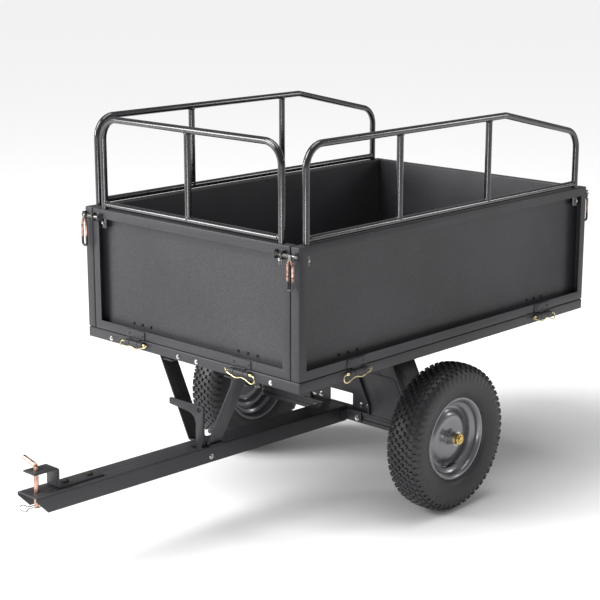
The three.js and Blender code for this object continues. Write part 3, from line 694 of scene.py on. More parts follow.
for sign, flank in ((1, "left"), (-1, "right")):
    shift = (STAND_TOP - KNEE) * LEAN
    inner, outer = STAND_X

    def upright(x, reach):
        """A flange of a stand, from its face to `reach`: straight foot, leaning upper part."""
        lower = [(x, STAND_Y, BEAM_TOP), (x, reach, BEAM_TOP), (x, reach, KNEE), (x, STAND_Y, KNEE)]
        upper = [(x, STAND_Y, KNEE), (x, reach, KNEE)]
        upper += [(x - shift, reach, STAND_TOP), (x - shift, STAND_Y, STAND_TOP)]
        return [[spot(sign * a, b, c) for a, b, c in ring] for ring in (lower, upper)]

    foot = [(inner, BEAM_TOP), (outer, BEAM_TOP), (outer, KNEE), (inner, KNEE)]
    upper = [(inner, KNEE), (outer, KNEE), (outer - shift, STAND_TOP), (inner - shift, STAND_TOP)]
    faces = upright(inner, STAND_BACK) + upright(outer, STAND_BACK)
    faces += [[spot(sign * x, STAND_Y, z) for x, z in ring] for ring in (foot, upper)]
    bore = (spot(sign * 20, PIVOT_Y, PIVOT_Z), spot(sign * 300, PIVOT_Y, PIVOT_Z), 7.7)
    peep = (spot(sign * 150, 560, 356), spot(sign * 150, 600, 356), 5)
    stand = pressed("stand_" + flank, faces, 4, 4, [bore, peep])
    panel = [(150, 226), (262, 226), (262, 240), (213, 334), (117, 334), (150, 262)]
    raised_outline = soften([spot(sign * x, 574.9, z) for x, z in panel], 16)
    raised = pressed("stand_panel", [raised_outline], 1.8, edge=1.2)
    lips = [pressed("stand_lip", upright(x, 566.5), 3, 2) for x in (inner - 0.4, outer + 0.4)]
    join(stand, [raised, *lips])
    fit(stand, "chassis", charcoal, "powder_coat", "axle_stand_" + flank)

    angle_plan = [(ANGLE_X, ANGLE_Y - 24), (ANGLE_X, ANGLE_Y), (ANGLE_X + 54, ANGLE_Y)]
    base, brim = ANGLE_Z
    faces = []
    for (x1, y1), (x2, y2) in zip(angle_plan, angle_plan[1:]):
        ring = [(x1, y1, base), (x2, y2, base), (x2, y2, brim), (x1, y1, brim)]
        faces.append([spot(sign * x, y, z) for x, y, z in ring])
    angle_plate = pressed("drawbar_angle_" + flank, faces, 4, 3)
    fit(angle_plate, "chassis", charcoal, "dark_coat", "drawbar_bracket_" + flank)

    clamps = [(78, 592, 226), (80, 571.2, 192), (104, 592, 226), (262, 575.5, 222)]
    clamps = [(spot(sign * x, y, z), forwards) for x, y, z in clamps]
    bolts("clamp_bolts_" + flank, "chassis", clamps, 6.0, 4.6, thread=1.6)

# ---- Stub axles, nuts and pivot pins -----------------------------------------------------
# The wheels turn on 20 mm shafts welded to plates on the beam's ends. Bright washers and a
# slotted brass coloured nut with a split pin hold each wheel on. The bed hangs on two pins.


def turned(name, profile, centre, axis, steps=48, closed=True):
    """A turned part from (radius, distance along) points in millimetres about an axis."""
    axis = Vector(axis).normalized()
    first = axis.orthogonal().normalized()
    second = axis.cross(first)
    shape = bmesh.new()
    rings = []
    for radius, along in profile:
        ring = []
        for step in range(steps):
            angle = 2 * math.pi * step / steps
            out = (math.cos(angle) * first + math.sin(angle) * second) * radius * MM
            ring.append(shape.verts.new(Vector(centre) + axis * along * MM + out))
        rings.append(ring)
    bridge(shape, rings, closed)
    bmesh.ops.remove_doubles(shape, verts=shape.verts, dist=1e-7)
    return made_solid(name, shape)


brass = Finish("brass_plate", Metallic=1.0)
stain = brass.noise(120.0, 4.0)
brass.paint("Base Color", brass.ramp(stain, (0.3, (0.42, 0.28, 0.09)), (0.65, (0.78, 0.58, 0.24))))
brass.paint("Roughness", 0.2 + 0.2 * stain)
brass.relief(brass.noise(800.0, 2.0), 0.1, 0.0002)
brass_plate = brass.material

middle_of_axle = spot(0, AXLE_Y, AXLE_Z)
for sign, flank in ((1, "left"), (-1, "right")):
    axis = (sign, 0, 0)
    plate = [(572, 178), (616, 178), (616, 212), (606, 224), (582, 224), (572, 212)]
    plate_outline = soften([spot(sign * 303.3, y, z) for y, z in plate], 4)
    stub = pressed("stub_axle_" + flank, [plate_outline], 6)
    profile = [(0, 303), (10, 303), (10, 431), (9.2, 432), (0, 432)]
    shaft = turned("shaft", profile, middle_of_axle, axis, 32, closed=False)
    washers = []
    for start, radius in ((421.05, 19.5), (421.5, 16.5)):
        disc = [(10.2, start), (radius, start), (radius, start + 0.4), (10.2, start + 0.4)]
        washers.append(turned("washer", disc, middle_of_axle, axis, 40))
    join(stub, [shaft, *washers])
    fit(stub, "chassis", zinc_plate, "zinc_steel", "axle_stub_" + flank)

    nut_profile = [(10.4, 422), (17, 422), (17, 430.4), (14.6, 432), (10.4, 432)]
    nut = turned("castle_nut_" + flank, nut_profile, middle_of_axle, axis, 6)
    crown_x = sign * 431.4
    nut_slots = []
    for third in range(3):
        angle = 0.35 + third * math.pi / 3
        out = Vector((0, math.cos(angle), math.sin(angle))) * 30 * MM
        crown_middle = spot(crown_x, AXLE_Y, AXLE_Z)
        nut_slots.append((crown_middle + out, crown_middle - out, 1.7))
    drill(nut, nut_slots)
    pin_ends = [spot(crown_x, AXLE_Y + side * 15, AXLE_Z + side * 5.4) for side in (-1, 1)]
    split_pin = rod("split_pin", pin_ends, 1.2, 10)
    cap = [(0, 431), (9.8, 431), (9.8, 434.6), (8.6, 436), (5.2, 436), (4.6, 435.2), (0, 435.2)]
    join(nut, [split_pin, turned("nut_cap", cap, middle_of_axle, axis, 32, closed=False)])
    fit(nut, "chassis", brass_plate, "brass_nut", "axle_nut_" + flank)

    profile = [(0, 72), (5.6, 72), (7, 74), (7, 254), (11, 254)]
    profile += [(12, 255), (12, 259), (11, 260), (0, 260)]
    pivot = turned("pivot_" + flank, profile, spot(0, PIVOT_Y, PIVOT_Z), axis, 32, closed=False)
    fit(pivot, "chassis", zinc_plate, "zinc_steel", "pivot_pin_" + flank)

# ---- Tyres -------------------------------------------------------------------------------
# Moulded rubber, 408 mm across and 104 mm wide, with fine rings at the bead and a smooth
# wall. Small staggered knobs cover the tread and run a little way down the shoulders.

rubber = Finish("tyre_rubber", Metallic=0.0, Specular_IOR_Level=0.42)
bloom = rubber.noise(7.0, 4.0)
grain = rubber.noise(900.0, 2.0)
tones = (0.35, (0.02, 0.02, 0.022)), (0.65, (0.034, 0.034, 0.037))
rubber.paint("Base Color", rubber.ramp(bloom, *tones))
rubber.paint("Roughness", 0.4 + 0.16 * bloom)
KNOBS_ROUND = 58
y_here = rubber.node("ShaderNodeSeparateXYZ", {}, {0: rubber.place}, 1)
z_here = rubber.node("ShaderNodeSeparateXYZ", {}, {0: rubber.place}, 2)
y_from, z_from = y_here - middle_of_axle.y, z_here - middle_of_axle.z
distance = rubber.maths("SQRT", y_from * y_from + z_from * z_from)
turn_here = rubber.maths("ARCTAN2", z_from, y_from)
ripple = rubber.maths("SINE", turn_here * float(KNOBS_ROUND))


def fade(from_radius, to_radius, start, stop):
    """A smooth step in radius, from one value to another."""
    band = {"Value": distance, "From Min": from_radius, "From Max": to_radius}
    band.update({"To Min": start, "To Max": stop})
    return rubber.node("ShaderNodeMapRange", {"interpolation_type": "SMOOTHSTEP"}, band)


flutes = ripple * fade(0.158, 0.172, 0.0, 1.0) * fade(0.176, 0.187, 1.0, 0.0)
rubber.relief(0.12 * grain + flutes, 0.5, 0.0016)
tyre_rubber = rubber.material

treading = Recipe(
    "tread_knobs",
    Length=("NodeSocketFloat", 0.015),
    Width=("NodeSocketFloat", 0.011),
    Height=("NodeSocketFloat", 0.006),
    Finish=("NodeSocketMaterial", None),
)
given = treading.given
sides = {"X": given["Length"], "Y": given["Width"], "Z": given["Height"]}
block_sizes = {"Size": treading.node("ShaderNodeCombineXYZ", {}, sides)}
block_sizes.update({"Vertices X": 2, "Vertices Y": 2, "Vertices Z": 2})
block = treading.node("GeometryNodeMeshCube", {}, block_sizes)
here = treading.node("GeometryNodeInputPosition", {}, {})
height_in_block = treading.node("ShaderNodeSeparateXYZ", {}, {"Vector": here}, 2)
is_top = treading.node("FunctionNodeCompare", {"operation": "GREATER_THAN"}, {0: height_in_block, 1: 0.0})
taper = {"Geometry": block, "Selection": is_top, "Scale": 0.78}
tapered = treading.node("GeometryNodeScaleElements", {"domain": "FACE"}, taper)
crest = treading.node("ShaderNodeCombineXYZ", {}, {"Z": treading.times(given["Height"], 0.4)})
knob = treading.node("GeometryNodeTransform", {}, {"Geometry": tapered, "Translation": crest})
facing = treading.node("GeometryNodeInputNamedAttribute", vector, {"Name": "facing"})
around = treading.node("GeometryNodeInputNamedAttribute", vector, {"Name": "around"})
size_of = treading.node("GeometryNodeInputNamedAttribute", vector, {"Name": "size"})
upward = treading.node("FunctionNodeAlignRotationToVector", {"axis": "Z"}, {"Vector": facing})
turning = {"Rotation": upward, "Vector": around}
aimed = treading.node("FunctionNodeAlignRotationToVector", {"axis": "X", "pivot_axis": "Z"}, turning)
placing = {"Points": given["Geometry"], "Instance": knob, "Rotation": aimed, "Scale": size_of}
treading.deliver(treading.node("GeometryNodeInstanceOnPoints", {}, placing))

WHEEL_X = 381
bead_profile = [(102.6, 24), (103, 31), (106, 33.6), (113, 34.4), (115.4, 36), (116.6, 38.4)]
bead_profile += [(118.6, 38.6), (120, 40.6), (122, 41), (123.6, 42.8)]
wall_profile = bead_profile + [(130, 45.6), (142, 49.2), (155, 51.2), (166, 51.4), (176, 49.6), (184, 46)]
wall_profile += [(190.5, 40), (195, 31), (197.6, 20), (198.6, 9)]
inside_profile = [(188, 8), (184, 26), (170, 41), (150, 45), (128, 37), (112, 26)]
# Rows of knobs from the crown outwards: x, radius, slope in degrees, stagger, scale of a knob.
KNOB_ROWS = [(0, 198.6, 0, 0.0, (1.0, 0.85, 1.0))]
for x, radius, slope, phase, size in (
    (12.4, 198.2, 3, 0.5, (1.0, 0.85, 1.0)),
    (24, 196.2, 13, 0.0, (1.0, 0.85, 1.05)),
    (34.6, 192.2, 30, 0.5, (1.0, 0.95, 1.2)),
    (43.6, 185.4, 50, 0.0, (0.85, 1.05, 0.9)),
):
    KNOB_ROWS += [(-x, radius, slope, phase, size), (x, radius, slope, phase, size)]
for sign, flank in ((1, "left"), (-1, "right")):
    centre = spot(sign * WHEEL_X, AXLE_Y, AXLE_Z)
    profile = [(r, -x) for r, x in wall_profile] + [(r, x) for r, x in reversed(wall_profile)]
    profile += [(r, x) for r, x in reversed(inside_profile)] + [(r, -x) for r, x in inside_profile]
    tyre = turned("tyre_wall_" + flank, profile, centre, (1, 0, 0), 96)
    points, facings, arounds, sizes = [], [], [], []
    for x, radius, slope, phase, size in KNOB_ROWS:
        tilt = math.copysign(math.radians(slope), x)
        for index in range(KNOBS_ROUND):
            angle = 2 * math.pi * (index + phase) / KNOBS_ROUND
            out = Vector((0, math.cos(angle), math.sin(angle)))
            points.append(centre + out * radius * MM + Vector((x * MM, 0, 0)))
            facings.append(out * math.cos(tilt) + Vector((math.sin(tilt), 0, 0)))
            arounds.append(Vector((0, -math.sin(angle), math.cos(angle))))
            sizes.append(size)
    knobs = marked_out("knobs", points, facing=facings, around=arounds, size=sizes)
    treading.apply(knobs, Length=0.0105, Width=0.0098, Height=0.006, Finish=tyre_rubber)
    join(tyre, [knobs])
    fit(tyre, "wheel_" + flank, tyre_rubber, "tyre_rubber", "tyre_" + flank)

# ---- Rims, hubs and valves ---------------------------------------------------------------
# Each rim is spun from sheet with a curled flange and a dished disc, welded to a tube hub
# and painted a glossy dark grey. A short rubber valve with a cap comes out below the hub.

gloss = Finish("rim_paint", Metallic=0.6, Coat_Weight=0.7, Coat_Roughness=0.1)
fleck = gloss.noise(1400.0, 1.0)
tone = gloss.noise(9.0, 2.0)
tones = (0.35, (0.13, 0.13, 0.14)), (0.65, (0.2, 0.2, 0.21))
gloss.paint("Base Color", gloss.ramp(0.6 * tone + 0.4 * fleck, *tones))
gloss.paint("Roughness", 0.26 + 0.1 * tone)
gloss.relief(gloss.noise(300.0, 2.0), 0.08, 0.0003)
rim_paint = gloss.material
half_barrel = [(113.6, 34.2), (114, 36), (112.4, 37.6), (109, 37.4), (106, 35), (103.4, 31.4)]
half_barrel += [(102, 27), (101.4, 22), (99, 19), (92, 16.4), (88.6, 14.6), (87, 11.6)]
disc_curve = [(86.6, 2), (82, 1.2), (76, 2), (70, 5.4), (66, 9.6), (62, 12.6)]
disc_curve += [(56, 14.4), (46, 15), (34, 14.2), (26, 13.4), (19, 13.2)]
for sign, flank in ((1, "left"), (-1, "right")):
    axis = (sign, 0, 0)
    centre = spot(sign * WHEEL_X, AXLE_Y, AXLE_Z)
    barrel = half_barrel + [(r, -x) for r, x in reversed(half_barrel)]
    rim = turned("spun_rim_" + flank, barrel, centre, axis, 96, closed=False)
    disc = turned("disc", disc_curve, centre, axis, 96, closed=False)
    for sheet_part in (rim, disc):
        wall = sheet_part.modifiers.new("wall", "SOLIDIFY")
        wall.thickness = 0.0022
        wall.offset = 0
        settle(sheet_part)
    stem_end = centre + Vector((sign * 0.0225, 0, -0.078))
    drill(rim, [(centre + Vector((sign * 0.0014, 0, -0.0938)), stem_end, 5.6)])
    weld = [(19, 13), (21.5, 13.4), (22.4, 15), (21, 16.8), (18.4, 17.6)]
    join(rim, [disc, turned("weld", weld, centre, axis, 48)])
    fit(rim, "wheel_" + flank, rim_paint, "rim_paint", "rim_" + flank)

    hub_profile = [(10.7, -42), (17, -42), (18, -41), (18, 8), (21, 8)]
    hub_profile += [(21, 12), (18, 12), (18, 39), (17, 40), (10.7, 40)]
    hub = turned("tube_hub_" + flank, hub_profile, centre, axis, 40)
    fit(hub, "wheel_" + flank, zinc_plate, "zinc_steel", "hub_" + flank)

    foot, way = centre + Vector((sign * 0.012, 0, -0.086)), Vector((sign * 0.807, 0, 0.59))
    profile = [(0, -7), (3.4, -7), (3.4, 6), (5.4, 10), (5.4, 13), (4.4, 17)]
    profile += [(3.4, 18), (3.3, 22), (3.8, 22.6), (3.8, 29), (3, 30), (0, 30)]
    valve = turned("valve_" + flank, profile, foot, way, 24, closed=False)
    fit(valve, "wheel_" + flank, tyre_rubber, "tyre_rubber", "valve_stem_" + flank)

# ---- Floor pan ---------------------------------------------------------------------------
# One sheet with its skirt turned down all round and a shallow raised field inside the sides.
# Fixed hinge knuckles are welded along all four edges.

LONG, HALF_WIDE, TOP, SKIRT = 1200, 400, 483, 27


def on_edge(edge, x, y, z):
    """A point made for the front edge of the bed, carried to one of its four edges."""
    if edge == "front":
        return spot(x, y, z)
    if edge == "rear":
        return spot(x, LONG - y, z)
    if edge == "left":
        return spot(HALF_WIDE - y, LONG / 2 + x, z)
    return spot(y - HALF_WIDE, LONG / 2 + x, z)


def outwards(edge):
    return on_edge(edge, 0, -1000, 0) - on_edge(edge, 0, 0, 0)


HINGES = {"front": (-200, 200), "rear": (-200, 200), "left": (-395, 395), "right": (-395, 395)}
HINGE_LINE, KNUCKLE = (-7.3, 473), 6.9


def rectangle(inset, z):
    """A rectangle inside the bed's outline."""
    x, far = HALF_WIDE - inset, LONG - inset
    return [spot(-x, inset, z), spot(x, inset, z), spot(x, far, z), spot(-x, far, z)]


sheet_top = TOP - 1
rings = [rectangle(1, TOP - SKIRT), rectangle(1, sheet_top), rectangle(30, sheet_top)]
rings.append(rectangle(35, sheet_top + 0.5))
pan_faces = [rings[-1]]
for outer, inner in zip(rings, rings[1:]):
    for side in range(4):
        after = (side + 1) % 4
        pan_faces.append([outer[side], outer[after], inner[after], inner[side]])
pan = pressed("floor_pan", pan_faces, 2, 2.5)
knuckles = []
for edge, places in HINGES.items():
    for x in places:
        for near, far in ((17.5, 34.5), (-34.5, -17.5)):
            ends = [on_edge(edge, x + near, *HINGE_LINE), on_edge(edge, x + far, *HINGE_LINE)]
            knuckles.append(rod("knuckle", ends, KNUCKLE, 24, 0.8))
            tab = [(near, -7), (far, -7), (far, 0), (near, 0)]
            knuckles.append(pressed("tab", [[on_edge(edge, x + a, b, 479) for a, b in tab]], 2.4))
join(pan, knuckles)
fit(pan, "bed", charcoal, "powder_coat", "bed_pan")

# ---- Members under the floor -------------------------------------------------------------
# Channels with their open side down carry the pan: three across and two lengthways. Under
# the middle one a bent bracket with two ears on each side takes the pivot pins.

MEMBER_Z, LONG_MEMBER_X = (438, 480.7), (262, 302)
EAR_X, EAR_Y, EAR_TOP, EAR_RADIUS = (122.5, 197.5), (605, 645), 435.7, 20


def channel(name, x, y, z, along, wall=4.0):
    """A folded channel with its open side down, from its lows and highs in millimetres."""
    lengthways = along == "y"
    run, breadth = (y, x) if lengthways else (x, y)
    near, far, top = breadth[0] + wall / 2, breadth[1] - wall / 2, z[1] - wall / 2

    def corner(place, side, height):
        return spot(side, place, height) if lengthways else spot(place, side, height)

    def strip(first, second):
        (side1, height1), (side2, height2) = first, second
        ends = [corner(run[0], side1, height1), corner(run[1], side1, height1)]
        return [*ends, corner(run[1], side2, height2), corner(run[0], side2, height2)]

    faces = [strip((near, top), (far, top))]
    faces += [strip((side, top), (side, z[0])) for side in (near, far)]
    return pressed(name, faces, wall, wall)


for name, node, half_run, y in (
    ("front_member", "front_cross_member", 390, (46, 86)),
    ("middle_member", "middle_cross_member", 261.7, EAR_Y),
    ("rear_member", "rear_cross_member", 300, (1114, 1154)),
):
    member = channel(name, (-half_run, half_run), y, MEMBER_Z, "x")
    fit(member, "bed", dark_coat, "dark_coat", node)

for sign, flank in ((1, "left"), (-1, "right")):
    side = sorted(sign * x for x in LONG_MEMBER_X)
    rail = channel("long_member_" + flank, side, (86.3, 1113.7), MEMBER_Z, "y")
    fit(rail, "bed", dark_coat, "dark_coat", "bed_rail_" + flank)

    near, far = EAR_Y
    crossing = [(EAR_X[0], near), (EAR_X[1], near), (EAR_X[1], far), (EAR_X[0], far)]
    faces = [[spot(sign * x, y, EAR_TOP) for x, y in crossing]]
    ear = [(near, EAR_TOP), (near, PIVOT_Z)]
    for step in range(1, 12):
        angle = math.pi * step / 12
        ear.append((PIVOT_Y - EAR_RADIUS * math.cos(angle), PIVOT_Z - EAR_RADIUS * math.sin(angle)))
    ear += [(far, PIVOT_Z), (far, EAR_TOP)]
    faces += [[spot(sign * x, y, z) for y, z in ear] for x in EAR_X]
    bore = (spot(sign * 100, PIVOT_Y, PIVOT_Z), spot(sign * 220, PIVOT_Y, PIVOT_Z), 7.8)
    pivot_bracket = pressed("pivot_ears_" + flank, faces, 4, 3, [bore])
    fit(pivot_bracket, "bed", dark_coat, "dark_coat", "pivot_bracket_" + flank)

# ---- Brace -------------------------------------------------------------------------------
# Two straps rise in a V from a foot plate to the sill, each notched round the front member
# with a tab bolted up under it. The lever's hook holds the foot plate down.

STRAP_FOOT, STRAP_TOP = (35, 234.9), (149, 455.7)
strap_lean = (STRAP_TOP[0] - STRAP_FOOT[0]) / (STRAP_TOP[1] - STRAP_FOOT[1])

for sign, flank in ((1, "left"), (-1, "right")):

    def on_strap(y, z):
        return spot(sign * (STRAP_FOOT[0] + (z - STRAP_FOOT[1]) * strap_lean), y, z)

    outline = [(32, 234.9), (83, 234.9), (83, 437.2), (45.4, 437.2), (45.4, 455.6), (32, 455.6)]
    strap_outline = soften([on_strap(y, z) for y, z in outline], 3)
    strap = pressed("brace_" + flank, [strap_outline], 4.4, edge=0.9)
    tab = [(97, 34), (140, 34), (140, 82), (97, 82)]
    tab_outline = soften([spot(sign * x, y, 435.2) for x, y in tab], 8)
    join(strap, [pressed("brace_tab", [tab_outline], 5, edge=0.9)])
    fit(strap, "bed", charcoal, "dark_coat", "brace_strap_" + flank)
foot = [(-44, 37), (44, 37), (44, 83), (-44, 83)]
foot_outline = soften([spot(x, y, 232.1) for x, y in foot], 5)
foot_plate = pressed("brace_foot_plate", [foot_outline], 5, edge=0.9)
fit(foot_plate, "bed", dark_coat, "dark_coat", "brace_foot")

# ---- Bolts of the bed --------------------------------------------------------------------
# Zinc plated: a row along the front and rear sills into the members, two through each
# pivot bracket, one through each tab of the brace and one in each corner of the frame.

down = Vector((0, 0, -1))
places = []
for x in (-303, -35, 35, 303):
    places.append((spot(x, 0, 466), forwards))
    places.append((spot(x, LONG, 466), -forwards))
for sign in (1, -1):
    places.append((spot(sign * 120, 58, 432.7), down))
    for y in (615, 635):
        places.append((spot(sign * 160, y, 433.7), down))
    for y in (60, 1128):
        places.append((spot(sign * 390, y, 462), across * sign))
bolts("sill_bolts", "bed", places, 4.8, 3.6, thread=0.8)

# ---- Sides -------------------------------------------------------------------------------
# Each side is a sheet folded out and in again all round like a picture frame, 333 mm high.
# Hinge straps are screwed on below, and the top fold is punched for the posts of its rail.

BASE, BRIM, LIP = 484, 817, 25
POSTS = {"end": (-330, 0, 330), "long": (-562, -220, 145, 558)}
LATCH_OUT, LATCH_Z = -9, 795


def panel(name, edge, half_long, depth, posts, body, extras):
    """A side as if it stood on the front edge, then put on its own edge."""

    def put(x, y, z):
        return on_edge(edge, x, y, z)

    back, front, out, low, high = depth - 1, 1, half_long - 1, BASE + 1, BRIM - 1
    corners = [(-out, low), (out, low), (out, high), (-out, high)]
    inner = [(-half_long + LIP, BASE + LIP), (half_long - LIP, BASE + LIP)]
    inner += [(half_long - LIP, BRIM - LIP), (-half_long + LIP, BRIM - LIP)]
    faces = [[put(x, back, z) for x, z in corners]]
    for index in range(4):
        after = (index + 1) % 4
        (x1, z1), (x2, z2) = corners[index], corners[after]
        fold = [put(x1, front, z1), put(x2, front, z2)]
        faces.append([put(x1, back, z1), put(x2, back, z2), *reversed(fold)])
        faces.append([*fold, *(put(x, front, z) for x, z in (inner[after], inner[index]))])
    middle = depth / 2
    holes = [(put(x, middle, BRIM - 8), put(x, middle, BRIM + 8), 9.9) for x in posts[:1] + posts[-1:]]
    sheet = pressed(name, faces, 2, 2.2, holes)
    added = list(extras)
    for x in HINGES[edge]:
        leaf = [(-35, 485.4), (35, 485.4), (35, 507), (-35, 507)]
        leaf_outline = soften([put(x + a, -1.4, c) for a, c in leaf], 4)
        added.append(pressed("hinge_strap", [leaf_outline], 2.6, edge=0.7))
        neck = [(-16, 476), (16, 476), (16, 488), (-16, 488)]
        added.append(pressed("hinge_neck", [[put(x + a, -1.6, c) for a, c in neck]], 2.2))
        ends = [put(x - 16.4, *HINGE_LINE), put(x + 16.4, *HINGE_LINE)]
        added.append(rod("hinge_knuckle", ends, KNUCKLE, 24, 0.8))
        rivet = [(0, 0), (4, 0), (4, 0.6), (2.6, 1.8), (0, 2.1)]
        for offset in (-26, 26):
            place = put(x + offset, -2.7, 496)
            added.append(turned("rivet", rivet, place, outwards(edge), 16, closed=False))
    join(sheet, added)
    fit(sheet, body, charcoal, "powder_coat", body)
    screws = []
    for x in HINGES[edge]:
        for offset in (-34, 0, 34):
            screws.append((put(x + offset, depth - 2, 517), outwards(edge)))
    bolts(body + "_screws", body, screws, 3.2, 2.4, "dark_coat", 0.7, finish=dark_coat)


for edge, body in (("front", "front_panel"), ("rear", "tailgate")):
    guides = []
    for sign in (1, -1):
        for x in (330.5, 353.5):
            ear = [(0, 784), (-12, 784), (-16, 788), (-16, 802), (-12, 806), (0, 806)]
            outline = [on_edge(edge, sign * x, y, z) for y, z in ear]
            ends = (on_edge(edge, sign * a, LATCH_OUT, LATCH_Z) for a in (x - 8, x + 8))
            guides.append(pressed("latch_ear", [outline], 4, holes=[(*ends, 5.8)], edge=0.6))
        base = [(327, 783), (357, 783), (357, 807), (327, 807)]
        plate = soften([on_edge(edge, sign * x, -1.2, z) for x, z in base], 3)
        guides.append(pressed("latch_base", [plate], 3))
    panel(body + "_sheet", edge, 369, 25, POSTS["end"] if edge == "front" else (), body, guides)

for sign, flank in ((1, "left"), (-1, "right")):
    keepers = []
    for edge in ("front", "rear"):
        outline = [(1, 785), (-13.4, 785), (-13.4, 790), (-4, 790)]
        outline += [(-4, 800), (-13.4, 800), (-13.4, 805), (1, 805)]
        keeper = [on_edge(edge, sign * 395, y, z) for y, z in outline]
        keepers.append(pressed("latch_keeper", [keeper], 4, edge=0.8))
    panel("side_sheet_" + flank, flank, LONG / 2, 29, POSTS["long"], "side_panel_" + flank, keepers)

# ---- Hinge pins --------------------------------------------------------------------------
# A plated pin runs through each hinge. A bow of yellow wire passes through its end, bends
# back under the knuckles and snaps over the far end, so that the pin can't slide out.

yellow = Finish("yellow_zinc", Metallic=1.0)
sheen = yellow.noise(70.0, 3.0)
tones = (0.35, (0.45, 0.37, 0.16)), (0.65, (0.83, 0.74, 0.45))
yellow.paint("Base Color", yellow.ramp(sheen, *tones))
yellow.paint("Roughness", 0.2 + 0.2 * sheen)
yellow.relief(yellow.noise(500.0, 2.0), 0.1, 0.0002)
yellow_zinc = yellow.material


def flowing(points, steps=5):
    """A smooth route through a few points."""
    points = [Vector(point) for point in points]
    padded = [2 * points[0] - points[1], *points, 2 * points[-1] - points[-2]]
    route = []
    for a, b, c, d in zip(padded, padded[1:], padded[2:], padded[3:]):
        square, cube = 2 * a - 5 * b + 4 * c - d, 3 * b - 3 * c + d - a
        for step in range(steps):
            t = step / steps
            route.append(0.5 * (2 * b + (c - a) * t + square * t**2 + cube * t**3))
    route.append(points[-1])
    return route


bow = [(37, -7.3, 473), (46, -7.6, 472.6), (53, -8.6, 469), (55.5, -10, 462)]
bow += [(52, -11.2, 455.5), (44, -11.8, 453.6), (34, -12, 457), (24, -12.2, 461.5)]
bow += [(12, -12.2, 463.4), (2, -12.2, 461.2), (-9, -12.2, 459), (-20, -12.2, 461.5)]
bow += [(-30, -12.4, 464.6), (-40, -12, 467.4), (-46, -10, 470), (-50, -8.2, 475.4)]
short_bow = [(40, -7.3, 480), (40, -7.3, 467), (43, -8.4, 459), (50, -10, 456.5)]
short_bow += [(56, -11, 462), (54, -10.6, 470), (48, -9, 474), (44.6, -8, 479)]
for edge, places in HINGES.items():
    for number, x in enumerate(places, 1):
        flip = 1 if x > 0 else -1
        shape = short_bow if edge == "rear" else bow

        def put(along, y, z):
            return on_edge(edge, x + flip * along, y, z)

        ends = [put(-43, *HINGE_LINE), put(44, *HINGE_LINE)]
        hinge_pin = rod(f"hinge_pin_{edge}_{number}_bar", ends, 3.6, 20, 0.8)
        clip_bow = rod("bow", flowing([put(*point) for point in shape]), 1.5, 8, 0.3)
        join(hinge_pin, [clip_bow])
        fit(hinge_pin, "bed", yellow_zinc, "zinc_steel", f"hinge_pin_{edge}_{number}", angle=60)

# ---- Tube rails --------------------------------------------------------------------------
# Steel tube of 18 mm bent into hoops, with posts and a lower bar welded in, painted black.
# The ends of each hoop drop through punched holes in the sides and are held by screws.

black = Finish("black_tube", Metallic=0.5, Coat_Weight=0.9, Coat_Roughness=0.12)
wave = black.noise(14.0, 3.0)
black.paint("Base Color", black.ramp(wave, (0.35, (0.012, 0.012, 0.014)), (0.65, (0.026, 0.026, 0.03))))
black.paint("Roughness", 0.2 + 0.12 * black.noise(60.0, 3.0))
black.relief(black.noise(380.0, 2.0), 0.1, 0.0003)
black_tube = black.material


def fillet(point, along, radius=9.4):
    """The ring of weld where a post or bar meets a tube."""
    swell = [(-1.2, -2.4), (0.6, -1.6), (1.1, 0), (0.2, 1.6), (-1.4, 2.6)]
    bead = [(radius + out, place) for out, place in swell]
    return turned("weld_bead", bead, point, along, 24)


def rail(name, body, hoop, bar, posts):
    main = rod(name, bent(hoop, 56, 12), 9, 24, 0.8)
    welded = [rod("bar", bar, 8.4, 20)]
    for end, other in (bar, bar[::-1]):
        way = (other - end).normalized()
        welded.append(fillet(end + way * 9.6 * MM, way, 8.6))
    for base, top in posts:
        welded.append(rod("post", [base, top], 8.9, 24, 0.8))
        welded.append(fillet(top - Vector((0, 0, 9.6 * MM)), (0, 0, -1)))
        welded.append(fillet(Vector((top.x, top.y, bar[0].z + 7.8 * MM)), (0, 0, 1), 9.2))
    join(main, welded)
    fit(main, body, black_tube, "rail_tube", body, angle=40)


TAIL, TAIL_SCREW, LOW_BAR = BRIM - 52, BRIM - 38, BRIM + 12
FRONT_HOOP_Y, FRONT_HOOP_TOP = 12.5, 1058.3
SIDE_HOOP_X, SIDE_HOOP_TOP, SLOPE_FROM, SLOPE_END = 385.5, 1055, 818, 976
left, middle, right = POSTS["end"]
tail_screws = [(spot(sign * 330, 3.5, TAIL_SCREW), forwards) for sign in (1, -1)]
bolts("front_rail_screws", "front_rail", tail_screws, 3.0, 2.2, thread=0.6)
hoop = [(left, TAIL), (left, FRONT_HOOP_TOP), (right, FRONT_HOOP_TOP), (right, TAIL)]
hoop = [spot(x, FRONT_HOOP_Y, z) for x, z in hoop]
bar = (spot(left, FRONT_HOOP_Y, LOW_BAR), spot(right, FRONT_HOOP_Y, LOW_BAR))
post = (spot(middle, FRONT_HOOP_Y, LOW_BAR), spot(middle, FRONT_HOOP_Y, FRONT_HOOP_TOP))
rail("front_hoop", "front_rail", hoop, bar, [post])
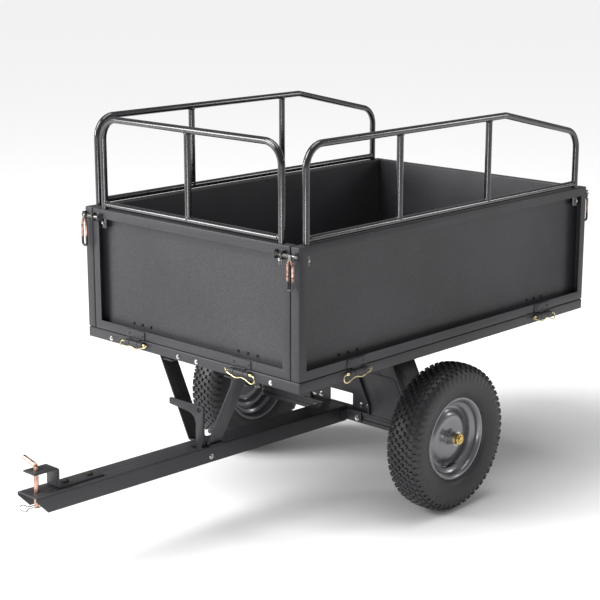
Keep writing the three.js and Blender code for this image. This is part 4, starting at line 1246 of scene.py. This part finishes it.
for sign, flank in ((1, "left"), (-1, "right")):
    x = sign * SIDE_HOOP_X
    one, two, three, four = (LONG / 2 + place for place in POSTS["long"])
    hoop = [(one, TAIL), (one, SIDE_HOOP_TOP), (SLOPE_FROM, SIDE_HOOP_TOP), (four, SLOPE_END), (four, TAIL)]
    bar = (spot(x, one, LOW_BAR), spot(x, four, LOW_BAR))
    posts = [(spot(x, y, LOW_BAR), spot(x, y, SIDE_HOOP_TOP)) for y in (two, three)]
    tail_screws = [(spot(sign * (SIDE_HOOP_X + 9), y, TAIL_SCREW), across * sign) for y in (one, four)]
    bolts("side_rail_screws_" + flank, "side_rail_" + flank, tail_screws, 3.0, 2.2, thread=0.6)
    rail("side_hoop_" + flank, "side_rail_" + flank, [spot(x, y, z) for y, z in hoop], bar, posts)

# ---- Corner latches ----------------------------------------------------------------------
# A plated pin slides through its barrel into the keeper of the side. It is pulled by a long
# loop of wire that hangs from it, against a small coil spring behind a collar.

dipped = Finish("dipped_latch")
height_here = dipped.node("ShaderNodeSeparateXYZ", {}, {0: dipped.place}, 2)
worn = dipped.noise(90.0, 4.0)
bright = dipped.ramp(worn, (0.36, (0.1, 0.06, 0.05)), (0.62, (0.6, 0.38, 0.31)))
pin_line = {"Value": height_here, "From Min": 0.784, "From Max": 0.788}
at_pin = dipped.node("ShaderNodeMapRange", {}, pin_line)
blend = {"Factor": at_pin, 6: bright, 7: (0.22, 0.21, 0.2, 1.0)}
bright = dipped.node("ShaderNodeMix", {"data_type": "RGBA"}, blend, 2)
edge_line = {"Value": height_here + 0.012 * worn, "From Min": 0.742, "From Max": 0.748}
above_dip = dipped.node("ShaderNodeMapRange", {}, edge_line)
mixed = {"Factor": above_dip, 6: (0.015, 0.014, 0.014, 1.0), 7: bright}
dipped.paint("Base Color", dipped.node("ShaderNodeMix", {"data_type": "RGBA"}, mixed, 2))
dipped.paint("Metallic", above_dip)
dipped.paint("Roughness", 0.24 + 0.2 * worn)
dipped_latch = dipped.material
COLLAR_X, LOOP_X, LOOP_OUT = 371, 385, -16.1
COIL_FROM, COIL_LONG, COIL_RADIUS, COIL_TURNS, STEPS_A_TURN = 357.4, 13, 4.8, 5, 12
knot_profile = [(0, -2.3), (3, -2), (4.4, 0), (3, 2), (0, 2.3)]
for edge in ("front", "rear"):
    for sign, flank in ((1, "left"), (-1, "right")):

        def put(x, y, z):
            return on_edge(edge, sign * x, y, z)

        def on_pin(x, out=LATCH_OUT):
            return put(x, out, LATCH_Z)

        latch = rod(f"{edge}_latch_bar_{flank}", [on_pin(332), on_pin(400)], 4, 20, 1)
        stub = rod("stub", [on_pin(LOOP_X), on_pin(LOOP_X, -19.2)], 3.2, 14, 0.6)
        loop = [(385, 797), (376.5, 775), (376.5, 714), (393.5, 714), (393.5, 775), (385, 797)]
        wire = rod("pull_loop", bent([put(x, LOOP_OUT, z) for x, z in loop], 8, 6), 3.3, 14)
        knot_place = put(LOOP_X, -17, LATCH_Z + 0.4)
        knot = turned("knot", knot_profile, knot_place, outwards(edge), 16, closed=False)
        collar = rod("collar", [on_pin(COLLAR_X), on_pin(COLLAR_X + 3.4)], 6.2, 20, 0.6)
        coil = []
        for step in range(COIL_TURNS * STEPS_A_TURN + 1):
            angle = 2 * math.pi * step / STEPS_A_TURN
            x = COIL_FROM + COIL_LONG * step / (COIL_TURNS * STEPS_A_TURN)
            out = LATCH_OUT + COIL_RADIUS * math.cos(angle)
            coil.append(put(x, out, LATCH_Z + COIL_RADIUS * math.sin(angle)))
        join(latch, [stub, wire, knot, collar, rod("latch_coil", coil, 0.7, 6, 0.2)])
        node = f"{edge}_latch_{flank}"
        fit(latch, node, dipped_latch, "copper_steel", node, angle=60)
